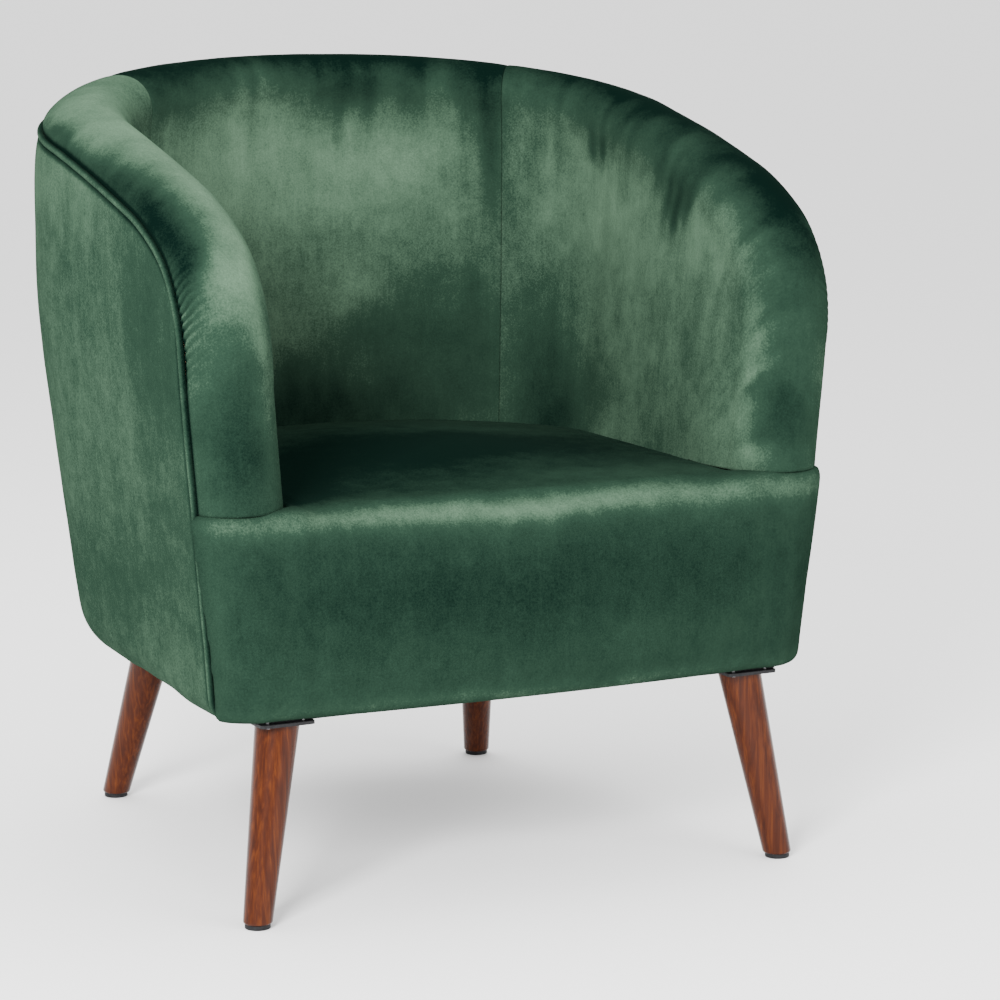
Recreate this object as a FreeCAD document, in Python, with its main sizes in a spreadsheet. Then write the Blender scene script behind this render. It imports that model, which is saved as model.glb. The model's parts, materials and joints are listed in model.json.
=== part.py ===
import FreeCAD, Part
import math
import os
import Sketcher
from FreeCAD import Placement, Rotation, Vector

# Tub chair: a velvet-covered barrel shell over a timber frame, a tight sprung seat
# and four splayed, tapered timber legs. Millimetres, +Z up, front towards -Y,
# origin on the floor under the middle of the chair.

doc = FreeCAD.newDocument("tub_chair")
sizes = doc.addObject("Spreadsheet::Sheet", "Sizes")

SIZE_ROWS = [
    ("chair_width", 715, "widest part of the shell"),
    ("chair_depth", 634, "seat front to the back of the shell"),
    ("chair_height", 795, "floor to the crest at the back"),
    ("base_height", 196, "floor to the underside of the shell"),
    ("arm_foot_height", 396, "where the arms stand on the seat"),
    ("back_radius", 493, "plan radius of the back"),
    ("corner_radius", 247, "plan radius of the shoulders"),
    ("arm_toe_angle", 1.5, "arms close in towards the front, degrees"),
    ("arm_setback", 19.5, "arm front behind the seat front"),
    ("wall_thickness", 92.5, "upholstered wall of the tub"),
    ("crest_back_angle", 17, "crest arc over the back, degrees each side"),
    ("crest_side_angle", 16.25, "crest arc over the arm, degrees"),
    ("crest_side_radius", 278, "crest radius over the arm"),
    ("crest_front_radius", 148, "crest radius at the arm front"),
    ("nose_crown_inset", 43.4, "crown of the roll, from the outer face"),
    ("nose_outer_drop", 30.2, "roll height on the outside"),
    ("nose_inner_drop", 44.7, "roll height on the inside"),
    ("taper_angle", 6.84, "lean of the shell below its belly, degrees"),
    ("belly_height", 609, "below this the shell leans in"),
    ("belly_radius", 1000, "bend between the lean and the upright wall"),
    ("shoulder_height", 670, "above this the shell rolls in"),
    ("shoulder_radius", 385, "bend of the shell below the crest"),
    ("back_taper_share", 0.35, "share of the lean at the middle of the back"),
    ("arm_taper_share", 0.67, "share of the lean at the arm fronts"),
    ("taper_ramp_start", 120, "lean grows from this station to the shoulder"),
    ("base_round_back", 22, "bottom rounding at the back"),
    ("base_round_corner", 56, "bottom rounding at the shoulders"),
    ("base_round_arm", 22, "bottom rounding under the arms and the seat"),
    ("base_round_start", 190, "bottom rounding grows from this station"),
    ("seam_station", 247, "seam of the inner back, along the wall"),
    ("pad_crown", 5, "fullness of the inner pad"),
    ("pad_foot_height", 355, "bottom of the inner pad behind the seat"),
    ("seat_wide_width", 690, "seat front, at the height named next"),
    ("seat_wide_height", 370, "height where the seat width is taken"),
    ("seat_base_width", 633, "seat front at the underside"),
    ("seat_bow", 17, "bow of the seat front"),
    ("seat_fullness", 3, "seat front's belly between its edges"),
    ("seat_corner_radius", 48, "plan radius of the seat's front corners"),
    ("seat_corner_turn", 65.4, "turn of those corners up to the piping, degrees"),
    ("seat_top_round", 36, "roll at the seat's front edge"),
    ("seat_arm_round", 14, "the same roll under the arms"),
    ("seat_side_round", 9, "roll at the seat's outer sides"),
    ("seat_crown", 14, "rise of the seat at its middle"),
    ("seat_back_rise", 5, "rise of the seat where it meets the back"),
    ("seat_crown_back", 210, "back end of the seat's crown"),
    ("seat_skirt_height", 338, "bottom of the seat cover inside the tub"),
    ("seat_side_clearance", 2.3, "seat to the inner faces of the tub"),
    ("cover_thickness", 2, "velvet with its backing"),
    ("soft_gap", 0.3, "clearance between upholstery layers"),
    ("cover_lip", 24, "cover turned under the rails"),
    ("welt_radius", 3.5, "piping"),
    ("welt_below_roll", 5, "piping centre below the edge of the roll"),
    ("welt_inset", 1.2, "piping centre behind the outer face"),
    ("board_thickness", 3, "fibreboard behind the outer cover"),
    ("frame_thickness", 36, "posts and top rail"),
    ("top_rail_height", 60, "top rail, measured down from the roll"),
    ("roll_depth", 48, "crest to the top rail"),
    ("post_foot_height", 240, "posts start here, on the rails' side"),
    ("back_post_station", 105, "back posts, along the wall"),
    ("back_post_width", 45, "back posts"),
    ("stay_rail_low", 300, "stay rail, lower edge"),
    ("stay_rail_high", 345, "stay rail, upper edge"),
    ("stay_rail_thickness", 15, "stay rail"),
    ("rail_thickness", 25, "seat rails"),
    ("ring_thickness", 18, "flat base ring that carries the legs"),
    ("ring_inner_depth", 112, "inner edge of the base ring, from the outer face"),
    ("ring_front_width", 62, "front member of the base ring"),
    ("rail_high", 277, "seat rails, upper edge"),
    ("front_rail_width", 566, "front seat rail"),
    ("front_rail_inset", 34, "front rail behind the seat front"),
    ("block_leg", 70, "corner block, along each rail"),
    ("block_height", 50, "corner block"),
    ("spring_count", 5, "zigzag springs"),
    ("spring_pitch", 92, "between springs"),
    ("spring_wire_radius", 1.9, "spring wire"),
    ("spring_width", 44, "zigzag springs"),
    ("spring_step", 24, "one bend to the next"),
    ("clip_length", 16, "spring clips, across the spring"),
    ("clip_wall", 1, "spring clips"),
    ("felt_thickness", 4, "felt over the springs"),
    ("dust_cloth_thickness", 1, "black cloth under the seat"),
    ("dust_cloth_overlap", 10, "black cloth over the turned-in covers"),
    ("staple_pitch", 58, "between staples"),
    ("staple_crown", 10, "staples"),
    ("staple_wire", 0.7, "staples"),
    ("tack_strip_width", 8, "stiff strip below the piping"),
    ("plate_width", 56, "leg plates"),
    ("plate_thickness", 3, "leg plates"),
    ("plate_corner", 5, "leg plates"),
    ("plate_screw_spacing", 37, "screws of a leg plate"),
    ("screw_radius", 2.1, "plate screws"),
    ("screw_head_radius", 3.8, "plate screws"),
    ("screw_head_height", 1.6, "plate screws"),
    ("screw_length", 22, "plate screws"),
    ("screw_clearance", 0.25, "screw holes in the plates"),
    ("bolt_radius", 4, "hanger bolts"),
    ("bolt_in_leg", 40, "hanger bolt inside the leg"),
    ("bolt_in_ring", 21, "hanger bolt above the plate"),
    ("leg_top_radius", 21.4, "legs"),
    ("leg_foot_radius", 13.9, "legs"),
    ("leg_foot_round", 2.5, "legs, lower edge"),
    ("front_leg_side_inset", 62.5, "front leg centre from the seat base's side"),
    ("front_leg_front_inset", 54, "front leg centre behind the seat front"),
    ("front_leg_splay_out", 33.6, "front foot, outwards of its top"),
    ("front_leg_splay_fore", 24.6, "front foot, forwards of its top"),
    ("rear_leg_station", 211, "rear leg, along the wall"),
    ("rear_leg_inset", 73, "rear leg centre inside the widest outline"),
    ("rear_leg_splay_out", 28.5, "rear foot, outwards of its top"),
    ("rear_leg_splay_aft", 59.8, "rear foot, backwards of its top"),
    ("glide_radius", 12.4, "foot glides"),
    ("glide_height", 4.5, "foot glides"),
    ("glide_edge", 0.8, "foot glides"),
    ("nail_radius", 1.2, "glide nails"),
    ("nail_length", 14, "glide nails"),
]


def fill_sheet():
    for row, (alias, value, note) in enumerate(SIZE_ROWS, start=1):
        sizes.set("A%d" % row, alias)
        sizes.set("B%d" % row, str(value))
        sizes.setAlias("B%d" % row, alias)
        sizes.set("C%d" % row, note)
    doc.recompute()


fill_sheet()
size = {alias: float(getattr(sizes, alias)) for alias, value, note in SIZE_ROWS}

cover = size["cover_thickness"]
gap = size["soft_gap"]
thick = size["wall_thickness"]
base = size["base_height"]
arm_foot = size["arm_foot_height"]
front_y = -size["chair_depth"] / 2


# Plan outline: a back arc, a shoulder arc and a straight arm, each tangent to the next.
# A station is the distance along the middle of the wall from the middle of the back.

half_width = size["chair_width"] / 2
back_centre_y = size["chair_depth"] / 2 - size["back_radius"]
corner_x = half_width - size["corner_radius"]
corner_run = math.sqrt((size["back_radius"] - size["corner_radius"]) ** 2 - corner_x ** 2)
corner_y = back_centre_y + corner_run
back_turn = math.atan2(corner_x, corner_run)
full_turn = math.pi / 2 + math.radians(size["arm_toe_angle"])
half_wall = thick / 2
back_end = (size["back_radius"] - half_wall) * back_turn
corner_end = back_end + (size["corner_radius"] - half_wall) * (full_turn - back_turn)
arm_start_y = corner_y + (size["corner_radius"] - half_wall) * math.cos(full_turn)
arm_front_y = front_y + size["arm_setback"]
arm_end = corner_end + (arm_start_y - arm_front_y) / math.sin(full_turn)


def outline(station, inset):
    """Point of the plan at a station, a distance inside the widest outline."""
    side = -1 if station < 0 else 1
    along = abs(station)
    if along < back_end:
        turn = along / (size["back_radius"] - half_wall)
        reach = size["back_radius"] - inset
        x, y = reach * math.sin(turn), back_centre_y + reach * math.cos(turn)
    else:
        turn = back_turn + (along - back_end) / (size["corner_radius"] - half_wall)
        run = max(along - corner_end, 0)
        turn = min(turn, full_turn)
        reach = size["corner_radius"] - inset
        x = corner_x + reach * math.sin(turn) + run * math.cos(full_turn)
        y = corner_y + reach * math.cos(turn) - run * math.sin(full_turn)
    return side * x, y


def ease(low, high, value):
    """Smooth step from 0 at low to 1 at high."""
    part = min(max((value - low) / (high - low), 0), 1)
    return part * part * (3 - 2 * part)


taper = math.radians(size["taper_angle"])


def lean_in(z):
    """How far the wall leans in below its belly."""
    down = max(size["belly_height"] - z, 0)
    bend = size["belly_radius"]
    if down < bend * math.sin(taper):
        return bend - math.sqrt(bend ** 2 - down ** 2)
    return bend * (1 - math.cos(taper)) + (down - bend * math.sin(taper)) * math.tan(taper)


def roll_in(z):
    """How far the wall rolls in above its shoulder."""
    up = min(max(z - size["shoulder_height"], 0), 0.9 * size["shoulder_radius"])
    return size["shoulder_radius"] - math.sqrt(size["shoulder_radius"] ** 2 - up ** 2)


def wall(station, z, depth):
    """Point of the wall: depth 0 is the outer face, the wall thickness is the inner face."""
    along = abs(station)
    fore = min(max((along - corner_end) / (arm_end - corner_end), 0), 1)
    arm_share = 1 + (size["arm_taper_share"] - 1) * fore
    back_share = size["back_taper_share"]
    ramp = ease(size["taper_ramp_start"], 1.6 * back_end, along)
    outer = (back_share + (1 - back_share) * ramp) * arm_share
    part = min(max(depth / thick, 0), 1)
    lean = lean_in(z) * (outer + (arm_share - outer) * part)
    x, y = outline(station, depth + lean + roll_in(z))
    return Vector(x, y, z)


# Crest line on the unrolled wall: an arc over the back, one over the arm, one round
# the arm's front, then straight down to the seat.

crest_1 = math.radians(size["crest_back_angle"])
crest_2 = crest_1 + math.radians(size["crest_side_angle"])
side_radius = size["crest_side_radius"]
front_radius = size["crest_front_radius"]
side_run = side_radius * (math.sin(crest_2) - math.sin(crest_1))
front_run = front_radius * (1 - math.sin(crest_2))
crown_radius = (arm_end - side_run - front_run) / math.sin(crest_1)
crown_centre_z = size["chair_height"] - crown_radius
side_centre_s = (crown_radius - side_radius) * math.sin(crest_1)
side_centre_z = crown_centre_z + (crown_radius - side_radius) * math.cos(crest_1)
front_centre_s = arm_end - front_radius
front_centre_z = side_centre_z + (side_radius - front_radius) * math.cos(crest_2)
crown_length = crown_radius * crest_1
side_length = side_radius * (crest_2 - crest_1)
front_length = front_radius * (math.pi / 2 - crest_2)
straight_length = front_centre_z - arm_foot
crest_length = crown_length + side_length + front_length + straight_length


def crest(distance):
    """Station, height and slope angle of the crest at a distance along it."""
    if distance < crown_length:
        slope = distance / crown_radius
        return crown_radius * math.sin(slope), crown_centre_z + crown_radius * math.cos(slope), slope
    distance -= crown_length
    if distance < side_length:
        slope = crest_1 + distance / side_radius
        return (side_centre_s + side_radius * math.sin(slope),
                side_centre_z + side_radius * math.cos(slope), slope)
    distance -= side_length
    if distance < front_length:
        slope = crest_2 + distance / front_radius
        return (front_centre_s + front_radius * math.sin(slope),
                front_centre_z + front_radius * math.cos(slope), slope)
    return arm_end, front_centre_z - (distance - front_length), math.pi / 2


def below_crest(distance, drop):
    """Station and height of the line that runs a drop inside the crest."""
    station, z, slope = crest(distance)
    return station - drop * math.sin(slope), z - drop * math.cos(slope)


def crest_height(station, drop):
    """Height of the line a drop inside the crest, at a station."""
    along = abs(station)
    if along < (crown_radius - drop) * math.sin(crest_1):
        return crown_centre_z + math.sqrt((crown_radius - drop) ** 2 - along ** 2)
    reach = side_radius - drop
    if along < side_centre_s + reach * math.sin(crest_2):
        return side_centre_z + math.sqrt(reach ** 2 - (along - side_centre_s) ** 2)
    reach = front_radius - drop
    return front_centre_z + math.sqrt(max(reach ** 2 - (along - front_centre_s) ** 2, 0))


def crest_stations(drop, last_fore=1.0):
    """Stations for upright sections, close together where the crest turns down."""
    marks = [crown_length * part / 8 for part in range(8)]
    marks += [crown_length + side_length * part / 3 for part in range(3)]
    front_start = crown_length + side_length
    marks += [front_start + front_length * last_fore * part / 6 for part in range(7)]
    right = [below_crest(mark, drop)[0] for mark in marks]
    return [-station for station in reversed(right[1:])] + right


# Sections are closed wires of lines and arcs.

def bend(first, middle, last):
    """Arc through three points, or a line where they lie in line."""
    chord = (last - first).normalize()
    offset = (middle - first) - chord * (middle - first).dot(chord)
    if offset.Length < 0.002:
        return Part.LineSegment(first, last).toShape()
    return Part.Arc(first, middle, last).toShape()


def path_edges(points):
    """Arcs through each run of three points: ends and middles take turns."""
    return [bend(points[k], points[k + 1], points[k + 2]) for k in range(0, len(points) - 2, 2)]


def line(first, last):
    return Part.LineSegment(first, last).toShape()


def loop(edges):
    wire = Part.Wire(edges)
    if not wire.isClosed():
        raise ValueError("open section")
    return wire


def loft(wires, ruled=False):
    solid = Part.makeLoft(wires, True, ruled)
    if solid.Volume < 0:
        solid.reverse()
    return solid


made = []


def keep(label, item):
    """Name a sub-part and put it on the list to be written."""
    item.Label = label
    made.append(item)
    return item


def feature(label, shape):
    item = doc.addObject("Part::Feature", label)
    item.Shape = shape
    return keep(label, item)


# Outer layers of the shell

def base_round(station):
    """Bottom rounding of the shell, which changes round the plan."""
    along = abs(station)
    widest = (back_end + corner_end) / 2
    if along < widest:
        low = size["base_round_back"]
        return low + (size["base_round_corner"] - low) * ease(size["base_round_start"], widest, along)
    low = size["base_round_arm"]
    return low + (size["base_round_corner"] - low) * (1 - ease(widest, arm_end, along))


def layer_profile(station, top, depth, turn, lip):
    """Points down the outside of a layer, round the bottom and under it."""
    radius = base_round(station)
    start = base + radius
    points = [wall(station, top + (start - top) * part / 8, depth) for part in range(9)]
    for part in (1, 2):
        angle = math.radians(turn) * part / 2
        inset = radius - (radius - depth) * math.cos(angle)
        points.append(wall(station, start - (radius - depth) * math.sin(angle), inset))
    under = None
    if lip:
        under = wall(station, base + depth, radius + lip)
    return points, under


def layer_section(station, top, outer, inner, turn=90, lip=0):
    outside, outside_lip = layer_profile(station, top, outer, turn, lip)
    inside, inside_lip = layer_profile(station, top, inner, turn, lip)
    edges = path_edges(outside)
    if lip:
        edges += [line(outside[-1], outside_lip), line(outside_lip, inside_lip), line(inside_lip, inside[-1])]
    else:
        edges.append(line(outside[-1], inside[-1]))
    edges += path_edges(inside[::-1])
    edges.append(line(inside[0], outside[0]))
    return loop(edges)


welt_drop = size["nose_outer_drop"] + size["welt_below_roll"]
cover_drop = welt_drop + size["welt_radius"] + gap + 0.2
board_outer = cover + gap
board_inner = board_outer + size["board_thickness"]


def make_outer_cover():
    stations = crest_stations(cover_drop)
    wires = [layer_section(station, crest_height(station, cover_drop), 0, cover, lip=size["cover_lip"])
             for station in stations]
    return feature("outer_cover", loft(wires).cut(shanks(size["screw_clearance"])))


def make_outer_board():
    drop = size["roll_depth"]
    stations = crest_stations(drop)
    wires = [layer_section(station, crest_height(station, drop), board_outer, board_inner, turn=50)
             for station in stations]
    return feature("outer_board", loft(wires))


# Piping: a round cord along the edge of the roll and down both arm fronts

def welt_points():
    """Centre line of the right half, from the middle of the back to the base."""
    front_start = crown_length + side_length
    marks = [front_start * part / 12 for part in range(12)]
    marks += [front_start + front_length * part / 5 for part in range(5)]
    points = []
    for mark in marks:
        station, z = below_crest(mark, welt_drop)
        points.append(wall(station, z, size["welt_inset"]))
    station = arm_end - welt_drop
    start = base + size["base_round_arm"]
    for part in range(7):
        points.append(wall(station, front_centre_z + (start - front_centre_z) * part / 6, size["welt_inset"]))
    radius = size["base_round_arm"] - size["welt_inset"]
    for turn in (25, 50):
        angle = math.radians(turn)
        inset = size["base_round_arm"] - radius * math.cos(angle)
        points.append(wall(station, start - radius * math.sin(angle), inset))
    return points


def make_piping():
    right = welt_points()
    left = [Vector(-point.x, point.y, point.z) for point in reversed(right[1:])]
    curve = Part.BSplineCurve()
    curve.interpolate(left + right)
    start = curve.value(curve.FirstParameter)
    run = curve.tangent(curve.FirstParameter)[0]
    ring = Part.Wire(Part.makeCircle(size["welt_radius"], start, run))
    cord = Part.Wire(curve.toShape()).makePipeShell([ring], True, True)
    return feature("piping", solid_of(cord))


def solid_of(shape):
    solid = Part.Solid(shape) if shape.ShapeType == "Shell" else shape
    if solid.Volume < 0:
        solid.reverse()
    return solid


# Inner pad and its covers. Each section starts at the roll's outer edge, goes over the
# roll and runs down the inner face to a foot line behind the seat.

upright_end = size["seam_station"] + 13
roll_outer_radius = ((size["nose_crown_inset"] ** 2 + size["nose_outer_drop"] ** 2)
                     / (2 * size["nose_outer_drop"]))
roll_outer_angle = math.asin(size["nose_crown_inset"] / roll_outer_radius)


def foot_point(distance):
    """Station and height of the pad's foot for a section that starts at the crest."""
    station, z, slope = crest(distance)
    if distance <= upright_end:
        return station, size["pad_foot_height"]
    fan = crest_length - upright_end
    past = distance - upright_end
    start = crest(upright_end)[0]
    rise = (arm_foot - size["pad_foot_height"]) * (past / fan) ** 3
    return start + past - past ** 2 / (2 * fan), size["pad_foot_height"] + rise


class FanSection:
    """Maps a drop below the crest and a depth in the wall to a point of one section."""

    def __init__(self, distance, side):
        self.side = side
        self.station, self.z, slope = crest(distance)
        foot_station, foot_z = foot_point(distance)
        run_s, run_z = foot_station - self.station, foot_z - self.z
        self.length = math.hypot(run_s, run_z)
        self.step_s, self.step_z = run_s / self.length, run_z / self.length
        self.square = -self.step_s * math.sin(slope) - self.step_z * math.cos(slope)
        self.foot_drop = self.length * self.square

    def point(self, drop, depth):
        run = drop / self.square
        station = self.station + self.step_s * run
        return wall(self.side * station, self.z + self.step_z * run, depth)

    def roll_points(self, layer, start_share):
        """Over the roll, a layer below its surface."""
        points = []
        for part in range(3):
            angle = roll_outer_angle * start_share * (1 - part / 2)
            reach = roll_outer_radius - layer
            points.append(self.point(roll_outer_radius - reach * math.cos(angle),
                                     size["nose_crown_inset"] - reach * math.sin(angle)))
        for part in (1, 2):
            angle = math.pi / 4 * part
            across = thick - size["nose_crown_inset"] - layer
            down = size["nose_inner_drop"] - layer
            points.append(self.point(size["nose_inner_drop"] - down * math.cos(angle),
                                     size["nose_crown_inset"] + across * math.sin(angle)))
        return points

    def face_points(self, layer):
        """Down the inner face, from the roll to the foot."""
        start = size["nose_inner_drop"]
        points = []
        for part in range(1, 7):
            share = part / 6
            fullness = size["pad_crown"] * math.sin(math.pi * share)
            points.append(self.point(start + (self.foot_drop - start) * share, thick - layer + fullness))
        return points


def inner_cover_section(distance, side):
    fan = FanSection(distance, side)
    outside = fan.roll_points(0, 1) + fan.face_points(0)
    inside = fan.roll_points(cover, 1) + fan.face_points(cover)
    edges = path_edges(outside) + [line(outside[-1], inside[-1])]
    edges += path_edges(inside[::-1]) + [line(inside[0], outside[0])]
    return loop(edges)


frame_outer = board_inner + gap
frame_inner = frame_outer + size["frame_thickness"]
pad_back = frame_inner + gap
roll_depth = size["roll_depth"]


def pad_section(distance, side):
    fan = FanSection(distance, side)
    layer = cover + gap
    outside = fan.roll_points(layer, 0.78) + fan.face_points(layer)
    corners = [fan.point(fan.foot_drop, pad_back), fan.point(roll_depth, pad_back),
               fan.point(roll_depth, frame_outer + 6)]
    edges = path_edges(outside)
    ring = [outside[-1]] + corners + [outside[0]]
    edges += [line(ring[k], ring[k + 1]) for k in range(len(ring) - 1)]
    return loop(edges)


def arm_marks():
    """Distances along the crest for the arm's sections, from the seam to the seat."""
    seam = seam_mark() + gap
    front_start = crown_length + side_length
    marks = [seam + (front_start - seam) * part / 9 for part in range(9)]
    marks += [front_start + front_length * part / 5 for part in range(5)]
    straight_start = front_start + front_length
    return marks + [straight_start + straight_length * part / 3 for part in range(4)]


def seam_mark():
    return crown_radius * math.asin(size["seam_station"] / crown_radius)


def back_sections(section):
    seam = seam_mark() - gap
    wires = []
    for part in range(-4, 5):
        side = -1 if part < 0 else 1
        wires.append(section(seam * abs(part) / 4, side))
    return wires


def make_inner_layers():
    feature("inner_back_cover", loft(back_sections(inner_cover_section)))
    feature("back_pad", loft(back_sections(pad_section)))
    for name, side in (("left", -1), ("right", 1)):
        feature("inner_arm_cover_" + name, loft([inner_cover_section(mark, side) for mark in arm_marks()]))
        feature("arm_pad_" + name, loft([pad_section(mark, side) for mark in arm_marks()]))


# Timber frame inside the wall

def upright_ring(station, low, high, outer, inner):
    corners = [wall(station, high, outer), wall(station, low, outer),
               wall(station, low, inner), wall(station, high, inner)]
    return loop([line(corners[k], corners[(k + 1) % 4]) for k in range(4)])


def level_ring(z, first, last, outer, inner):
    corners = [wall(first, z, outer), wall(last, z, outer), wall(last, z, inner), wall(first, z, inner)]
    return loop([line(corners[k], corners[(k + 1) % 4]) for k in range(4)])


top_drop = roll_depth + gap
low_drop = top_drop + size["top_rail_height"]
post_top = front_centre_z + 35


def make_top_rail():
    wires = []
    for station in crest_stations(top_drop, 0.8):
        low = max(crest_height(station, low_drop), post_top + gap)
        wires.append(upright_ring(station, low, crest_height(station, top_drop), frame_outer, frame_inner))
    return feature("top_rail", loft(wires, True))


def make_arm_posts():
    low, turn_z = size["post_foot_height"], front_centre_z
    levels = [low + (turn_z - low) * part / 4 for part in range(4)]
    levels += [turn_z + (post_top - turn_z) * part / 4 for part in range(5)]
    for name, side in (("left", -1), ("right", 1)):
        wires = []
        for z in levels:
            up = max(z - turn_z, 0)
            front = front_centre_s + math.sqrt((front_radius - top_drop) ** 2 - up ** 2)
            back = front_centre_s + math.sqrt((front_radius - low_drop) ** 2 - up ** 2)
            wires.append(level_ring(z, side * back, side * front, frame_outer, frame_inner))
        feature("arm_post_" + name, loft(wires, True))


def make_back_posts():
    reach = size["back_post_width"] / 2
    for name, side in (("left", -1), ("right", 1)):
        middle = side * size["back_post_station"]
        top = crest_height(size["back_post_station"] + reach, low_drop) - gap
        levels = [size["post_foot_height"] + (top - size["post_foot_height"]) * part / 6 for part in range(7)]
        wires = [level_ring(z, middle - reach, middle + reach, frame_outer, frame_inner) for z in levels]
        feature("back_post_" + name, loft(wires, True))


rail_outer = pad_back
rail_inner = rail_outer + size["rail_thickness"]
front_rail_y = front_y + size["front_rail_inset"]
rail_meet_y = front_rail_y + size["rail_thickness"] + gap
ring_low = base + cover + gap
ring_high = ring_low + size["ring_thickness"]
rail_low = ring_high + gap
rail_high = size["rail_high"]


def station_at_y(y):
    """Station on the straight arm whose wall lies at y."""
    return corner_end + (arm_start_y - y) / math.sin(full_turn)


def strip(first, last, count, low, high, outer, inner):
    """Curved board that follows the wall between two stations."""
    stations = [first + (last - first) * part / count for part in range(count + 1)]
    return loft([upright_ring(station, low, high, outer, inner) for station in stations])


def make_rails():
    joint = corner_end + 20
    feature("seat_back_rail", strip(-joint, joint, 24, rail_low, rail_high, rail_outer, rail_inner))
    far = station_at_y(rail_meet_y) - size["rail_thickness"] * abs(math.cos(full_turn)) - gap
    for name, side in (("left", -1), ("right", 1)):
        feature("seat_side_rail_" + name,
                strip(side * (joint + gap), side * far, 4, rail_low, rail_high, rail_outer, rail_inner))
    # The stay rail ties the posts together behind the foot of the pad.
    stay_outer = pad_back
    stay_end = arm_end - low_drop - 2 * gap
    feature("stay_rail", strip(-stay_end, stay_end, 36, size["stay_rail_low"], size["stay_rail_high"],
                               stay_outer, stay_outer + size["stay_rail_thickness"]))


# Objects drawn with sketches and primitives, bound to the sheet

def bind(item, prop, text):
    item.setExpression(prop, text)


def plane(body, role):
    for feature_item in body.Origin.OriginFeatures:
        if feature_item.Role == role:
            return feature_item
    raise ValueError(role)


def new_sketch(body, name, role="XY_Plane"):
    sketch = body.newObject("Sketcher::SketchObject", name)
    sketch.AttachmentSupport = (plane(body, role), "")
    sketch.MapMode = "FlatFace"
    return sketch


def add_rectangle(sketch, width, height):
    """Centred rectangle whose width and height are sheet expressions."""
    corners = [Vector(-10, -10, 0), Vector(10, -10, 0), Vector(10, 10, 0), Vector(-10, 10, 0)]
    first = sketch.GeometryCount
    for k in range(4):
        sketch.addGeometry(Part.LineSegment(corners[k], corners[(k + 1) % 4]), False)
    for k in range(4):
        sketch.addConstraint(Sketcher.Constraint("Coincident", first + k, 2, first + (k + 1) % 4, 1))
    for k in (0, 2):
        sketch.addConstraint(Sketcher.Constraint("Horizontal", first + k))
        sketch.addConstraint(Sketcher.Constraint("Vertical", first + k + 1))
    sketch.addConstraint(Sketcher.Constraint("Symmetric", first, 1, first + 1, 2, -1, 1))
    wide = sketch.addConstraint(Sketcher.Constraint("DistanceX", first, 1, first, 2, 20))
    high = sketch.addConstraint(Sketcher.Constraint("DistanceY", first + 1, 1, first + 1, 2, 20))
    bind(sketch, "Constraints[%d]" % wide, width)
    bind(sketch, "Constraints[%d]" % high, height)


def add_circle(sketch, radius, x_text=None, y_text=None, x_sign=1, y_sign=1):
    """Circle on the sketch's origin, or at distances from it given by expressions."""
    place = Vector(10 * x_sign, 10 * y_sign, 0) if x_text else Vector(0, 0, 0)
    index = sketch.addGeometry(Part.Circle(place, Vector(0, 0, 1), 2), False)
    round_size = sketch.addConstraint(Sketcher.Constraint("Radius", index, 2))
    bind(sketch, "Constraints[%d]" % round_size, radius)
    if x_text:
        across = sketch.addConstraint(Sketcher.Constraint("DistanceX", -1, 1, index, 3, 10 * x_sign))
        along = sketch.addConstraint(Sketcher.Constraint("DistanceY", -1, 1, index, 3, 10 * y_sign))
        bind(sketch, "Constraints[%d]" % across, x_text)
        bind(sketch, "Constraints[%d]" % along, y_text)
    else:
        sketch.addConstraint(Sketcher.Constraint("Coincident", index, 3, -1, 1))


def pad_body(name, width, height, length):
    """Body with one centred rectangular pad that starts on its XY plane."""
    body = doc.addObject("PartDesign::Body", name)
    sketch = new_sketch(body, name + "_outline")
    add_rectangle(sketch, width, height)
    pad = body.newObject("PartDesign::Pad", name + "_pad")
    pad.Profile = sketch
    bind(pad, "Length", length)
    return body, pad


def make_front_rail():
    body, pad = pad_body("seat_front_rail", "Sizes.front_rail_width", "Sizes.rail_thickness",
                         "Sizes.rail_high - Sizes.base_height - Sizes.cover_thickness - "
                         "2 * Sizes.soft_gap - Sizes.ring_thickness")
    body.Placement = Placement(Vector(0, front_rail_y + size["rail_thickness"] / 2, rail_low), Rotation())
    return keep("seat_front_rail", body)


# Leg places: a top under the frame and a foot on the floor

def leg_places():
    front_x = size["seat_base_width"] / 2 - size["front_leg_side_inset"]
    front_top = Vector(front_x, front_y + size["front_leg_front_inset"], 0)
    front_foot = front_top + Vector(size["front_leg_splay_out"], -size["front_leg_splay_fore"], 0)
    rear_x, rear_y = outline(size["rear_leg_station"], size["rear_leg_inset"])
    rear_top = Vector(rear_x, rear_y, 0)
    rear_foot = rear_top + Vector(size["rear_leg_splay_out"], size["rear_leg_splay_aft"], 0)
    rear_turn = math.degrees(math.atan2(rear_x, rear_y - back_centre_y))
    places = []
    for name, side in (("left", -1), ("right", 1)):
        flip = Vector(side, 1, 1)
        places.append(("front_" + name, mirrored(front_top, flip), mirrored(front_foot, flip), 0))
        places.append(("rear_" + name, mirrored(rear_top, flip), mirrored(rear_foot, flip), -side * rear_turn))
    return places


def mirrored(point, flip):
    return Vector(point.x * flip.x, point.y * flip.y, point.z * flip.z)


cloth_low = base - size["dust_cloth_thickness"]
plate_low = cloth_low - size["plate_thickness"]
leg_low = size["glide_height"]


def leg_axis(top, foot):
    """Rotation from +Z to the leg's axis, which runs up from the foot."""
    rise = Vector(top.x - foot.x, top.y - foot.y, plate_low)
    return Rotation(Vector(0, 0, 1), rise), rise.Length


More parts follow.
